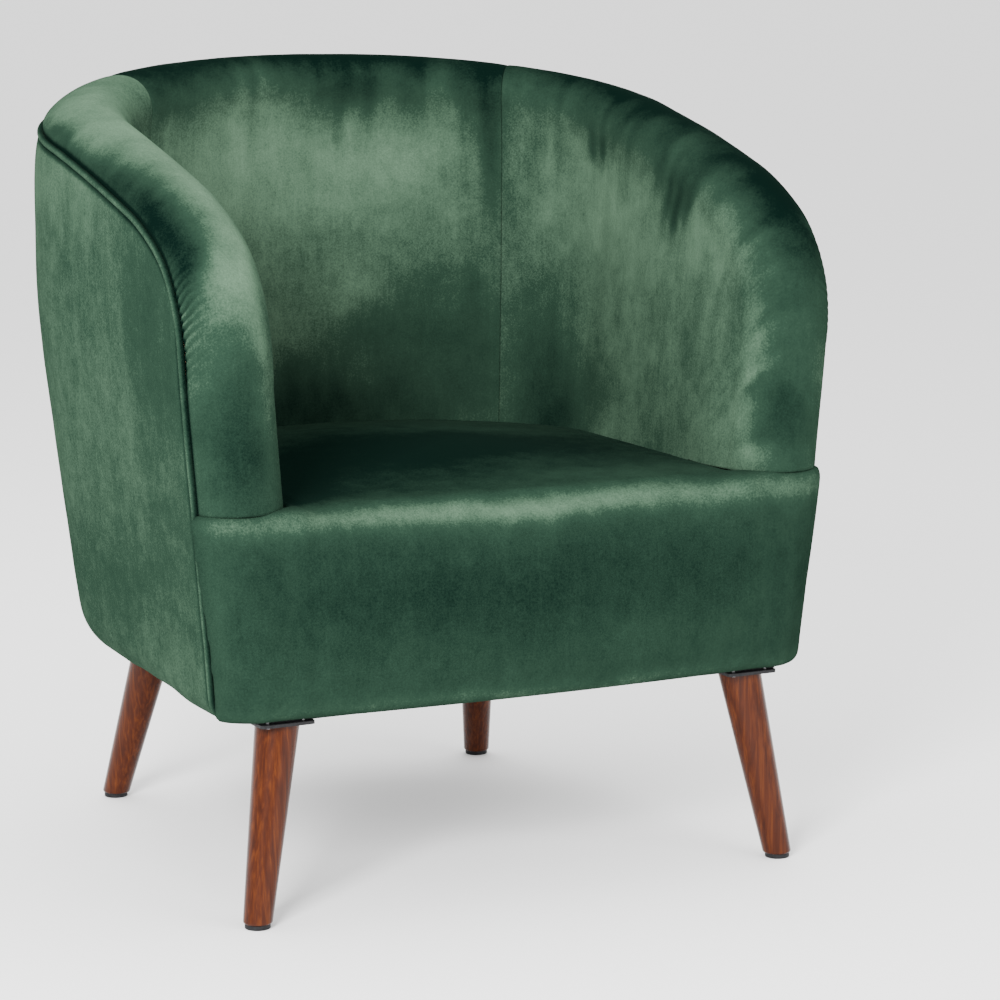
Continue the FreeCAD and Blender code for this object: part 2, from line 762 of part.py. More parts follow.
def make_legs():
    over = 12
    for name, top, foot, turn in leg_places():
        rotation, length = leg_axis(top, foot)
        axis = rotation.multVec(Vector(0, 0, 1))
        slope = (size["leg_top_radius"] - size["leg_foot_radius"]) / length
        cone = doc.addObject("Part::Cone", "leg_cone_" + name)
        cone.Radius1 = size["leg_foot_radius"] - slope * over
        cone.Radius2 = size["leg_top_radius"] + slope * over
        cone.Height = length + 2 * over
        cone.Placement = Placement(foot - axis * over, rotation)
        slab = doc.addObject("Part::Box", "leg_slab_" + name)
        reach = 4 * size["leg_top_radius"]
        slab.Length = 2 * reach
        slab.Width = 2 * reach
        slab.Height = plate_low - leg_low
        slab.Placement = Placement((top + foot) * 0.5 + Vector(-reach, -reach, leg_low), Rotation())
        cut = doc.addObject("Part::Common", "leg_blank_" + name)
        cut.Base = cone
        cut.Tool = slab
        # Bore for the hanger bolt, square to the plate
        bore = doc.addObject("Part::Cylinder", "leg_bore_" + name)
        bind(bore, "Radius", "Sizes.bolt_radius")
        bind(bore, "Height", "Sizes.bolt_in_leg")
        bore.Placement = Placement(Vector(top.x, top.y, plate_low - size["bolt_in_leg"]), Rotation())
        drilled = doc.addObject("Part::Cut", "leg_drilled_" + name)
        drilled.Base = cut
        drilled.Tool = bore
        pilot = nail_bore("leg_pilot_" + name, glide_centre(top, foot))
        finished = doc.addObject("Part::Cut", "leg_bored_" + name)
        finished.Base = drilled
        finished.Tool = pilot
        drilled = finished
        doc.recompute()
        edges = [k + 1 for k, edge in enumerate(drilled.Shape.Edges)
                 if abs(edge.BoundBox.ZMax - leg_low) < 0.01]
        rounded = doc.addObject("Part::Fillet", "leg_" + name)
        rounded.Base = drilled
        rounded.Edges = [(k, size["leg_foot_round"], size["leg_foot_round"]) for k in edges]
        keep("leg_" + name, rounded)


def make_hardware():
    spacing = "Sizes.plate_screw_spacing / 2"
    for name, top, foot, turn in leg_places():
        body, pad = pad_body("leg_plate_" + name, "Sizes.plate_width", "Sizes.plate_width",
                             "Sizes.plate_thickness")
        doc.recompute()
        upright = ["Edge%d" % (k + 1) for k, edge in enumerate(pad.Shape.Edges)
                   if edge.BoundBox.ZLength > size["plate_thickness"] / 2]
        fillet = body.newObject("PartDesign::Fillet", "leg_plate_corners_" + name)
        fillet.Base = (pad, upright)
        bind(fillet, "Radius", "Sizes.plate_corner")
        holes = new_sketch(body, "leg_plate_holes_" + name)
        add_circle(holes, "Sizes.bolt_radius + Sizes.screw_clearance")
        for x_sign in (-1, 1):
            for y_sign in (-1, 1):
                add_circle(holes, "Sizes.screw_radius + Sizes.screw_clearance",
                           ("-" if x_sign < 0 else "") + spacing, ("-" if y_sign < 0 else "") + spacing,
                           x_sign, y_sign)
        pocket = body.newObject("PartDesign::Pocket", "leg_plate_drilled_" + name)
        pocket.Profile = holes
        pocket.Type = 1
        pocket.Midplane = True
        body.Placement = Placement(Vector(top.x, top.y, plate_low), Rotation(Vector(0, 0, 1), turn))
        keep("leg_plate_" + name, body)
        bolt = doc.addObject("Part::Cylinder", "hanger_bolt_" + name)
        bind(bolt, "Radius", "Sizes.bolt_radius")
        bind(bolt, "Height", "Sizes.bolt_in_leg + Sizes.plate_thickness + Sizes.bolt_in_ring")
        bolt.Placement = Placement(Vector(top.x, top.y, plate_low - size["bolt_in_leg"]), Rotation())
        keep("hanger_bolt_" + name, bolt)
        glide = doc.addObject("Part::Cylinder", "glide_disc_" + name)
        bind(glide, "Radius", "Sizes.glide_radius")
        bind(glide, "Height", "Sizes.glide_height")
        glide.Placement = Placement(glide_centre(top, foot), Rotation())
        doc.recompute()
        rims = [(k + 1, size["glide_edge"], size["glide_edge"]) for k, edge in enumerate(glide.Shape.Edges)
                if edge.BoundBox.ZMax < 0.01]
        soft = doc.addObject("Part::Fillet", "glide_soft_" + name)
        soft.Base = glide
        soft.Edges = rims
        bored = doc.addObject("Part::Cut", "glide_" + name)
        bored.Base = soft
        bored.Tool = nail_bore("glide_pilot_" + name, glide_centre(top, foot))
        keep("glide_" + name, bored)


def nail_bore(name, centre):
    bore = doc.addObject("Part::Cylinder", name)
    bind(bore, "Radius", "Sizes.nail_radius")
    bind(bore, "Height", "Sizes.nail_length")
    bore.Placement = Placement(centre + Vector(0, 0, 1.5), Rotation())
    return bore


# Seat: sagittal sections lofted across, cut to the inside of the tub

def seat_half_width(z):
    grow = (size["seat_wide_width"] - size["seat_base_width"]) / 2
    return size["seat_base_width"] / 2 + grow * (z - base) / (size["seat_wide_height"] - base)


seat_top = arm_foot - gap
well_x = abs(wall(arm_end, arm_foot, thick + size["seat_side_clearance"]).x)
well_share = well_x / seat_half_width(arm_foot)
corner_share = 1 - size["seat_corner_radius"] / seat_half_width(size["seat_wide_height"])
cheek_back_y = arm_front_y + welt_drop - size["welt_radius"] - 2 * gap


def seat_front(share):
    """Front face at a share of the half width."""
    return front_y + size["seat_bow"] * share ** 2


def side_roll(share):
    """How far the seat's top drops towards its outer side."""
    last = corner_share + (size["seat_corner_radius"] * math.sin(math.radians(size["seat_corner_turn"]))
                           / seat_half_width(size["seat_wide_height"]))
    radius = size["seat_side_round"]
    past = max(radius - (last - abs(share)) * seat_half_width(arm_foot), 0)
    return radius - math.sqrt(max(radius ** 2 - past ** 2, 0))


def seat_section(share, drop, layer):
    """Section at a share of the half width. The drop sets it back round the corner."""
    side = abs(share)
    face = seat_front(side) + drop + layer
    edge = face + size["seat_fullness"]
    middle = math.cos(math.pi / 2 * min(side / 0.74, 1)) ** 2
    crown = size["seat_crown"] * middle
    rise = size["seat_back_rise"] * middle
    top = seat_top - layer - side_roll(share)
    roll = size["seat_arm_round"]
    roll = roll + (size["seat_top_round"] - roll) * (1 - ease(0.5, 0.8, side)) - layer
    low_roll = size["base_round_arm"] - layer
    low = base + layer
    back = size["seat_crown_back"]
    run = back - edge - roll
    start_slope = math.atan((math.pi * crown + rise) / run)
    points = []
    for part in range(3):
        turn = math.pi / 2 * part / 2
        points.append((edge + low_roll * (1 - math.sin(turn)), low + low_roll * (1 - math.cos(turn))))
    points.append((face, (low + top) / 2))
    for part in range(3):
        turn = (math.pi / 2 - start_slope) * part / 2
        points.append((edge + roll * (1 - math.cos(turn)), top - roll * (1 - math.sin(turn))))
    start_y, start_z = points[-1]
    for part in range(1, 9):
        share_back = part / 8
        lift = crown * math.sin(math.pi * share_back) + (top + rise - start_z) * share_back
        points.append((start_y + (back - start_y) * share_back, start_z + lift))
    ends = [(back + 20, points[-1][1]), (back + 20, low), points[0]]
    placed = [Vector(share * seat_half_width(z), y, z) for y, z in points]
    edges = path_edges(placed)
    previous = placed[-1]
    for y, z in ends:
        corner = Vector(share * seat_half_width(z), y, z)
        edges.append(line(previous, corner))
        previous = corner
    return loop(edges)


def seat_block(layer):
    """Seat form with its fronts and corners, a layer below the velvet's surface."""
    shares = [(well_share * part / 4, 0) for part in range(4)]
    shares += [(well_share, 0), ((well_share + corner_share) / 2, 0), (corner_share, 0)]
    radius = size["seat_corner_radius"]
    for part in (0.25, 0.5, 0.75, 0.88, 1):
        turn = math.radians(size["seat_corner_turn"]) * part
        reach = corner_share + radius * math.sin(turn) / seat_half_width(size["seat_wide_height"])
        shares.append((reach, radius * (1 - math.cos(turn))))
    last = shares[-1][0]
    pull = (last - layer / seat_half_width(base)) / last
    shares = [(share * pull, drop) for share, drop in shares]
    right = [seat_section(share, drop, layer) for share, drop in shares]
    left = [seat_section(-share, drop, layer) for share, drop in reversed(shares[1:])]
    return loft(left + right)


def tub_well(layer, cheek_back):
    """Everything in front of the cheeks' back and inside the tub."""
    depth = thick + size["seat_side_clearance"] + layer
    wires = []
    for z in (base - 20, arm_foot + 60):
        far = station_at_y(cheek_back)
        marks = [0, back_end / 4, back_end / 2, back_end * 3 / 4, back_end]
        marks += [back_end + (corner_end - back_end) * part / 8 for part in range(1, 9)]
        right = [wall(mark, z, depth) for mark in marks]
        left = [wall(-mark, z, depth) for mark in reversed(marks[1:])]
        edges = path_edges(left + right)
        corner = wall(far, z, depth)
        ring = [right[-1], Vector(corner.x, cheek_back, z), Vector(420, cheek_back, z), Vector(420, -360, z),
                Vector(-420, -360, z), Vector(-420, cheek_back, z), Vector(-corner.x, cheek_back, z), left[0]]
        edges += [line(ring[k], ring[k + 1]) for k in range(len(ring) - 1)]
        wires.append(loop(edges))
    return loft(wires, True)


def box(low, high):
    return Part.makeBox(high[0] - low[0], high[1] - low[1], high[2] - low[2], Vector(*low))


spring_z = rail_high + size["clip_wall"] + gap + size["spring_wire_radius"]
felt_low = spring_z + size["spring_wire_radius"] + size["clip_wall"] + 2 * gap
felt_high = felt_low + size["felt_thickness"]


def make_seat():
    outside = seat_block(0).common(tub_well(0, cheek_back_y))
    inside = seat_block(cover).common(tub_well(cover, cheek_back_y + 1))
    shell = outside.cut(inside)
    shell = shell.cut(box((-400, cheek_back_y, base - 30), (400, 330, size["seat_skirt_height"])))
    feature("seat_cover", single(shell.cut(shanks(size["screw_clearance"]))))
    layer = cover + gap
    foam = seat_block(layer).common(tub_well(layer, cheek_back_y))
    foam = foam.cut(box((-400, front_rail_y - gap, base - 30), (400, 330, felt_high + gap)))
    feature("seat_foam", single(foam))


def single(shape):
    """The largest solid of a cut, which must hold nearly all of it."""
    solids = sorted(shape.Solids, key=lambda solid: solid.Volume)
    if solids[-1].Volume < 0.97 * shape.Volume:
        raise ValueError("a cut fell into pieces")
    return solids[-1]


def flat_sheet(z, thickness, depth, front):
    """Flat sheet with the plan of the tub and a straight front. The depth may vary."""
    far = station_at_y(front)
    marks = [back_end * part / 4 for part in range(5)]
    marks += [back_end + (corner_end - back_end) * part / 8 for part in range(1, 9)]
    marks += [corner_end + (far - corner_end) / 2, far]
    right = [wall(mark, z, depth(mark)) for mark in marks]
    right[-1].y = front
    left = [Vector(-point.x, point.y, point.z) for point in reversed(right[1:])]
    edges = path_edges(left + right) + [line(right[-1], left[0])]
    return Part.Face(loop(edges)).extrude(Vector(0, 0, thickness))


def shanks(clearance):
    """Bolts and screws as one cutting shape."""
    rods = []
    for name, top, foot, turn in leg_places():
        rods.append(Part.makeCylinder(size["bolt_radius"] + clearance, 60, Vector(top.x, top.y, plate_low)))
        for place in screw_places(top, turn):
            rods.append(Part.makeCylinder(size["screw_radius"] + clearance, size["screw_length"],
                                          place + Vector(0, 0, plate_low)))
    return Part.makeCompound(rods)


def screw_places(top, turn):
    reach = size["plate_screw_spacing"] / 2
    rotation = Rotation(Vector(0, 0, 1), turn)
    return [Vector(top.x, top.y, 0) + rotation.multVec(Vector(reach * a, reach * b, 0))
            for a in (-1, 1) for b in (-1, 1)]


def make_base():
    outer = flat_sheet(ring_low, size["ring_thickness"], lambda mark: base_round(mark) + gap, front_rail_y)
    inner = flat_sheet(ring_low - 5, size["ring_thickness"] + 10, lambda mark: size["ring_inner_depth"],
                       front_rail_y + size["ring_front_width"])
    feature("base_ring", single(outer.cut(inner).cut(shanks(0))))
    overlap = size["cover_lip"] - size["dust_cloth_overlap"]
    front = front_y + size["seat_bow"] / 2 + size["base_round_arm"] + 4
    cloth = flat_sheet(cloth_low, size["dust_cloth_thickness"], lambda mark: base_round(mark) + overlap, front)
    cloth = cloth.cut(shanks(size["screw_clearance"])).cut(Part.makeCompound(staple_shapes(front)[1]))
    feature("dust_cover", single(cloth))
    feature("dust_cover_staples", Part.makeCompound(staple_shapes(front)[0]))
    felt = flat_sheet(felt_low, size["felt_thickness"], lambda mark: pad_back + 3, front_rail_y + 3)
    feature("seat_felt", felt)


def staple_shapes(front):
    """Staples round the dust cloth, and their legs alone."""
    wire = size["staple_wire"]
    crown = size["staple_crown"]
    low = cloth_low
    places = []
    last = station_at_y(front) - 30
    count = int(last / size["staple_pitch"])
    for k in range(-count, count + 1):
        mark = last * k / count
        depth = base_round(mark) + size["cover_lip"] - size["dust_cloth_overlap"] + 6
        centre = wall(mark, low, depth)
        ahead = wall(mark + 1, low, depth)
        places.append((centre, math.degrees(math.atan2(ahead.y - centre.y, ahead.x - centre.x))))
    count = int(230 / size["staple_pitch"])
    for k in range(-count, count + 1):
        places.append((Vector(230 * k / count, front + 6, low), 0))
    plates = [Vector(top.x, top.y, low) for name, top, foot, turn in leg_places()]
    places = [(c, a) for c, a in places if min((c - plate).Length for plate in plates) > 48]
    staples = []
    legs = []
    for centre, angle in places:
        bar = Part.makeBox(crown, wire, wire, Vector(-crown / 2, -wire / 2, -wire))
        pins = [Part.makeBox(wire, wire, size["dust_cloth_thickness"], Vector(end, -wire / 2, 0))
                for end in (-crown / 2, crown / 2 - wire)]
        whole = bar.multiFuse(pins).removeSplitter()
        spot = Placement(centre, Rotation(Vector(0, 0, 1), angle))
        whole.Placement = spot
        staples.append(whole)
        for pin in pins:
            pin.Placement = spot.multiply(pin.Placement)
            legs.append(pin)
    return staples, legs


def make_blocks():
    low = rail_low
    height = size["block_height"]
    leg = size["block_leg"]
    for name, side in (("left", -1), ("right", 1)):
        y = rail_meet_y
        x = abs(wall(station_at_y(y), low + height, rail_inner + 1.5).x)
        corner = Vector(side * x, y, low)
        far_x = abs(wall(station_at_y(y + leg), low, rail_inner + 2.2).x)
        wire = Part.makePolygon([corner, Vector(side * far_x, y + leg, low), Vector(side * (x - leg), y, low), corner])
        feature("corner_block_front_" + name, Part.Face(wire).extrude(Vector(0, 0, height)).cut(shanks(0)))
        # The rear blocks bridge the bend of the back rail over the rear legs.
        middle = size["rear_leg_station"]
        run = leg * 0.75
        marks = [middle + run * part / 4 for part in range(-4, 5)]
        points = [wall(side * mark, low, rail_inner + 3.5) for mark in marks]
        edges = path_edges(points) + [line(points[-1], points[0])]
        inner = wall(side * middle, low, rail_inner + 40)
        chord = [points[-1], inner + (points[-1] - points[0]) * 0.25, inner - (points[-1] - points[0]) * 0.25,
                 points[0]]
        edges = path_edges(points) + [line(chord[k], chord[k + 1]) for k in range(3)]
        block = Part.Face(loop(edges)).extrude(Vector(0, 0, height))
        feature("corner_block_rear_" + name, block)


def make_springs():
    wires = []
    clips = []
    radius = size["spring_wire_radius"]
    count = int(size["spring_count"])
    start_y = front_rail_y + size["rail_thickness"] / 2
    reach = size["spring_width"] / 2
    for k in range(count):
        x = size["spring_pitch"] * (k - (count - 1) / 2)
        rail_middle = (rail_outer + rail_inner) / 2
        station = station_at_x(x, rail_middle)
        end_y = wall(station, spring_z, rail_middle).y
        bends = 2 * int((end_y - start_y) / (2 * size["spring_step"]))
        step = (end_y - start_y) / bends
        bar = reach - step / 2
        edges = []
        for row in range(bends + 1):
            way = 1 if row % 2 == 0 else -1
            y = start_y + row * step
            first = Vector(x - way * bar, y, spring_z)
            last = Vector(x + way * bar, y, spring_z)
            edges.append(line(first, last))
            if row < bends:
                middle = Vector(last.x + way * step / 2, y + step / 2, spring_z)
                edges.append(Part.Arc(last, middle, Vector(last.x, y + step, spring_z)).toShape())
        ring = Part.Wire(Part.makeCircle(radius, Vector(x - bar, start_y, spring_z), Vector(1, 0, 0)))
        wires.append(solid_of(Part.Wire(edges).makePipeShell([ring], True, False)))
        for y in (start_y, end_y):
            clips.append(clip_shape(Vector(x, y, spring_z)))
    feature("seat_springs", Part.makeCompound(wires))
    feature("spring_clips", Part.makeCompound(clips))


def station_at_x(x, depth):
    """Station of the back whose wall lies at x."""
    low, high = 0.0, corner_end
    for turn in range(40):
        middle = (low + high) / 2
        if wall(middle, rail_high, depth).x < abs(x):
            low = middle
        else:
            high = middle
    return math.copysign((low + high) / 2, x)


def clip_shape(centre):
    """Folded clip on a rail with the spring's end bar inside."""
    hole = size["spring_wire_radius"] + gap
    outer = hole + size["clip_wall"]
    length = size["clip_length"]
    low = rail_high - spring_z
    tube = Part.makeCylinder(outer, length, Vector(-length / 2, 0, 0), Vector(1, 0, 0))
    foot = Part.makeBox(length, outer + 7, size["clip_wall"], Vector(-length / 2, -7, low))
    side = Part.makeBox(length, outer, -low, Vector(-length / 2, 0, low))
    bore = Part.makeCylinder(hole, length + 2, Vector(-length / 2 - 1, 0, 0), Vector(1, 0, 0))
    below = Part.makeBox(length + 2, 40, 10, Vector(-length / 2 - 1, -20, low - 10))
    shape = tube.fuse(foot).fuse(side).cut(bore).cut(below)
    shape.Placement = Placement(centre, Rotation())
    return shape


def make_tack_strip():
    front_start = crown_length + side_length
    first = cover_drop + gap
    last = min(first + size["tack_strip_width"], size["roll_depth"] - gap)
    marks = [front_start * part / 10 for part in range(10)]
    marks += [front_start + front_length * part / 6 for part in range(7)]
    marks += [front_start + front_length + (straight_length + 100) * part / 3 for part in range(1, 4)]
    wires = []
    for sign in (-1, 1):
        chain = marks if sign > 0 else list(reversed(marks[1:]))
        for mark in chain:
            ring = []
            for drop, depth in ((first, board_outer), (last, board_outer), (last, board_inner),
                                (first, board_inner)):
                station, z = below_crest(mark, drop)
                ring.append(wall(sign * station, z, depth))
            wires.append(loop([line(ring[k], ring[(k + 1) % 4]) for k in range(4)]))
    feature("tack_strip", loft(wires, True))


def make_screws():
    screws = []
    nails = []
    for name, top, foot, turn in leg_places():
        for place in screw_places(top, turn):
            shank = Part.makeCylinder(size["screw_radius"], size["screw_length"], place + Vector(0, 0, plate_low))
            head = Part.makeCylinder(size["screw_head_radius"], size["screw_head_height"],
                                     place + Vector(0, 0, plate_low - size["screw_head_height"]))
            screws.append(shank.fuse(head).removeSplitter())
        centre = glide_centre(top, foot)
        nails.append(Part.makeCylinder(size["nail_radius"], size["nail_length"], centre + Vector(0, 0, 1.5)))
    feature("plate_screws", Part.makeCompound(screws))
    feature("glide_nails", Part.makeCompound(nails))


def glide_centre(top, foot):
    return foot + (top - foot) * (leg_low / plate_low)


fill_order = [make_outer_cover, make_outer_board, make_piping, make_inner_layers, make_top_rail,
              make_arm_posts, make_back_posts, make_tack_strip, make_rails, make_front_rail, make_base,
              make_blocks, make_springs, make_seat, make_legs, make_hardware, make_screws]

for step in fill_order:
    step()


def check_and_write():
    doc.recompute()
    for item in doc.Objects:
        if "Invalid" in item.State or "Error" in item.State:
            raise ValueError("failed object: " + item.Name)
    os.makedirs("parts", exist_ok=True)
    for item in made:
        shape = item.Shape
        if shape.isNull() or not shape.isValid() or not shape.Solids:
            raise ValueError("bad shape: " + item.Label)
        shape.exportStep("parts/%s.step" % item.Label)
        bounds = shape.optimalBoundingBox()
        print("%-26s %2d solid %10.1f cm3  x %7.1f %7.1f  y %7.1f %7.1f  z %6.1f %6.1f" % (
            item.Label, len(shape.Solids), shape.Volume / 1000,
            bounds.XMin, bounds.XMax, bounds.YMin, bounds.YMax, bounds.ZMin, bounds.ZMax))


check_and_write()
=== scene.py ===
import itertools
import json
import math
import bmesh
import bpy
import numpy as np
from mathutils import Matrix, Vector


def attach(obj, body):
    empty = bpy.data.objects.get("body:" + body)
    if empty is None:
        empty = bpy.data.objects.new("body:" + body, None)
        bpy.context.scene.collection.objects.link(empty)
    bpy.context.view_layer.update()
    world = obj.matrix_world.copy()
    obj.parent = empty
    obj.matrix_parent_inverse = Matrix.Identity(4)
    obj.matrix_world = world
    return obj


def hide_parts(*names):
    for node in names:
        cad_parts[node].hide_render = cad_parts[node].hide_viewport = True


# Tub chair in green velvet. Lengths below are millimetres in the CAD frame and become
# metres where a mesh is made.

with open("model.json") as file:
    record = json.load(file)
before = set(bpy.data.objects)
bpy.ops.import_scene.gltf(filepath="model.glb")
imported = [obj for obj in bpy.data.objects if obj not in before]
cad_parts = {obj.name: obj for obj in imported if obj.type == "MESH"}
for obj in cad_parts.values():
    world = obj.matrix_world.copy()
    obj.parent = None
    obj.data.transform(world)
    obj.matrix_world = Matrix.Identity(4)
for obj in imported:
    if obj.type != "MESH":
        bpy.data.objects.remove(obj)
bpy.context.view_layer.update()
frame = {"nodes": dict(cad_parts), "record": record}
nodes = frame["nodes"]
MM = 0.001

# Sizes of the shell, as in the CAD

WIDTH = 715.0
DEPTH = 634.0
HEIGHT = 795.0
BASE = 196.0                      # underside of the base
ARM_FOOT = 396.0                  # where the arm fronts stand on the seat
ARM_SETBACK = 19.5                # arm fronts behind the front of the seat
BACK_R = 493.0                    # plan radius of the back
CORNER_R = 247.0                  # plan radius of the back corners
WALL = 92.5                       # thickness of the padded wall
TOE = math.radians(1.5)           # the arms close in toward the front
CREST_1 = math.radians(17.0)      # where the crown ends on the crest line
CREST_2 = math.radians(33.25)     # where the side arc ends
SIDE_R = 278.0                    # radius of the crest over the sides
FRONT_R = 148.0                   # radius of the bend at the arm fronts
CROWN_IN = 43.4                   # depth of the highest line of the roll
OUTER_DROP = 30.2                 # fall of the roll to the outer face
INNER_DROP = 44.7                 # fall of the roll to the inner face
TAPER = math.radians(6.84)        # lean of the lower wall
BELLY_Z = 609.0                   # below this the wall leans in
BELLY_R = 1000.0
SHOULDER_Z = 670.0                # above this the wall rolls in
SHOULDER_R = 385.0
PAD_FOOT = 355.0                  # lower edge of the pads at the back
SEAM_S = 247.0                    # station of the two upright seams
WELT_DROP = 35.2                  # piping below the crest
WELT_R = 3.5                      # radius of the piping
WELT_INSET = 1.2                  # centre of the piping behind the outer face
CORNER_ROUND = 22.0               # turn under the base at the arm fronts
COVER_LIP = 24.0                  # cover turned under the base
FIT = 1.6                         # room between the seat and the tub

BACK_Y = DEPTH / 2 - BACK_R
CORNER_X = WIDTH / 2 - CORNER_R
CORNER_RUN = math.sqrt((BACK_R - CORNER_R) ** 2 - CORNER_X ** 2)
CORNER_Y = BACK_Y + CORNER_RUN
BACK_TURN = math.atan2(CORNER_X, CORNER_RUN)
FULL_TURN = math.pi / 2 + TOE
BACK_END = (BACK_R - WALL / 2) * BACK_TURN
CORNER_END = BACK_END + (CORNER_R - WALL / 2) * (FULL_TURN - BACK_TURN)
ARM_START_Y = CORNER_Y + (CORNER_R - WALL / 2) * math.cos(FULL_TURN)
ARM_FRONT_Y = -DEPTH / 2 + ARM_SETBACK
ARM_END = CORNER_END + (ARM_START_Y - ARM_FRONT_Y) / math.sin(FULL_TURN)


def ease(low, high, value):
    part = np.clip((value - low) / (high - low), 0, 1)
    return part * part * (3 - 2 * part)


def bump_at(value, centre, width):
    return np.exp(-((value - centre) / width) ** 2)


def outline(station, inset):
    """Plan point at a station along the wall, an inset inside the widest outline."""
    along = np.abs(station)
    turn_back = along / (BACK_R - WALL / 2)
    turn_side = BACK_TURN + (along - BACK_END) / (CORNER_R - WALL / 2)
    turn_side = np.minimum(turn_side, FULL_TURN)
    run = np.maximum(along - CORNER_END, 0)
    back = along < BACK_END
    x = np.where(back, (BACK_R - inset) * np.sin(turn_back),
                 CORNER_X + (CORNER_R - inset) * np.sin(turn_side) + run * math.cos(FULL_TURN))
    y = np.where(back, BACK_Y + (BACK_R - inset) * np.cos(turn_back),
                 CORNER_Y + (CORNER_R - inset) * np.cos(turn_side) - run * math.sin(FULL_TURN))
    return np.where(station < 0, -x, x), y


def lean_in(z):
    down = np.maximum(BELLY_Z - z, 0)
    near = BELLY_R - np.sqrt(BELLY_R ** 2 - np.minimum(down, 0.9 * BELLY_R) ** 2)
    far = BELLY_R * (1 - math.cos(TAPER)) + (down - BELLY_R * math.sin(TAPER)) * math.tan(TAPER)
    return np.where(down < BELLY_R * math.sin(TAPER), near, far)


def roll_in(z):
    up = np.clip(z - SHOULDER_Z, 0, 0.9 * SHOULDER_R)
    return SHOULDER_R - np.sqrt(SHOULDER_R ** 2 - up ** 2)


BACK_LEAN = 0.35                  # share of the lean that the back has
SIDE_LEAN = 0.65                  # what the sides have more
ARM_LEAN_LOSS = 0.33              # what the arm fronts have less
LEAN_FROM = 120
LEAN_TO = 1.6 * BACK_END


def wall(station, z, depth):
    """Points of the wall: depth 0 is its outer face, WALL its inner face."""
    along = np.abs(station)
    fore = np.clip((along - CORNER_END) / (ARM_END - CORNER_END), 0, 1)
    arm_share = 1 - ARM_LEAN_LOSS * fore
    outer = (BACK_LEAN + SIDE_LEAN * ease(LEAN_FROM, LEAN_TO, along)) * arm_share
    part = np.clip(depth / WALL, 0, 1)
    lean = lean_in(z) * (outer + (arm_share - outer) * part)
    x, y = outline(station, depth + lean + roll_in(z))
    return np.stack([x, y, np.broadcast_to(z, x.shape)], -1)


def wall_point(station, z, depth):
    return wall(np.array(station), np.array(z), np.array(depth))


# Crest line on the unrolled wall

SIDE_RUN = SIDE_R * (math.sin(CREST_2) - math.sin(CREST_1))
CROWN_R = (ARM_END - SIDE_RUN - FRONT_R * (1 - math.sin(CREST_2))) / math.sin(CREST_1)
CROWN_Z = HEIGHT - CROWN_R
SIDE_S = (CROWN_R - SIDE_R) * math.sin(CREST_1)
SIDE_Z = CROWN_Z + (CROWN_R - SIDE_R) * math.cos(CREST_1)
FRONT_S = ARM_END - FRONT_R
FRONT_Z = SIDE_Z + (SIDE_R - FRONT_R) * math.cos(CREST_2)
CROWN_L = CROWN_R * CREST_1
SIDE_L = SIDE_R * (CREST_2 - CREST_1)
FRONT_L = FRONT_R * (math.pi / 2 - CREST_2)
CREST_L = CROWN_L + SIDE_L + FRONT_L + FRONT_Z - ARM_FOOT


def crest(distance):
    """Station, height and slope angle along the crest."""
    distance = np.asarray(distance, float)
    a = distance / CROWN_R
    b = CREST_1 + (distance - CROWN_L) / SIDE_R
    c = CREST_2 + (distance - CROWN_L - SIDE_L) / FRONT_R
    arcs = [distance < CROWN_L, distance < CROWN_L + SIDE_L,
            distance < CROWN_L + SIDE_L + FRONT_L]
    stations = [CROWN_R * np.sin(a), SIDE_S + SIDE_R * np.sin(b), FRONT_S + FRONT_R * np.sin(c)]
    heights = [CROWN_Z + CROWN_R * np.cos(a), SIDE_Z + SIDE_R * np.cos(b),
               FRONT_Z + FRONT_R * np.cos(c)]
    station = np.select(arcs, stations, ARM_END)
    z = np.select(arcs, heights, FRONT_Z - (distance - CROWN_L - SIDE_L - FRONT_L))
    slope = np.select(arcs, [a, b, c], math.pi / 2)
    return station, z, slope


def crest_height(station, drop):
    """Height of the line that lies a drop below the crest."""
    along = np.abs(station)
    top = CROWN_Z + np.sqrt((CROWN_R - drop) ** 2 - along ** 2)
    side = SIDE_Z + np.sqrt(np.maximum((SIDE_R - drop) ** 2 - (along - SIDE_S) ** 2, 0))
    front = FRONT_Z + np.sqrt(np.maximum((FRONT_R - drop) ** 2 - (along - FRONT_S) ** 2, 0))
    first = (CROWN_R - drop) * math.sin(CREST_1)
    second = SIDE_S + (SIDE_R - drop) * math.sin(CREST_2)
    return np.where(along < first, top, np.where(along < second, side, front))


# Soft, seeded value noise

LATTICE = 32
OFFSET = 1000.0                   # keeps all cells positive
OCTAVES = 3
TABLES = {}


def cloud(points, scale, seed):
    """Smooth noise from -1 to 1, with cells of the given size."""
    if seed not in TABLES:
        TABLES[seed] = np.random.RandomState(seed).uniform(-1, 1, (LATTICE,) * 3)
    table = TABLES[seed]
    p = np.asarray(points) / scale + OFFSET
    cell = np.floor(p).astype(int)
    f = p - cell
    f = f * f * (3 - 2 * f)
    total = 0
    for dx in (0, 1):
        for dy in (0, 1):
            for dz in (0, 1):
                w = (f[..., 0] if dx else 1 - f[..., 0]) * (f[..., 1] if dy else 1 - f[..., 1])
                w = w * (f[..., 2] if dz else 1 - f[..., 2])
                x, y, z = [(cell[..., k] + d) % LATTICE for k, d in enumerate((dx, dy, dz))]
                total = total + w * table[x, y, z]
    return total


def clouds(points, scale, seed):
    """Three layers of the same noise, each finer and weaker than the last."""
    total = 0
    for k in range(OCTAVES):
        total = total + cloud(points, scale / 2 ** k, seed + k) / 2 ** k
    return total / (2 - 2 ** (1 - OCTAVES))


def drift(points, scale, seed):
    """Three clouds as the x, y and z of a small shift."""
    return np.stack([clouds(points, scale, seed + k) for k in (0, 10, 20)], -1)


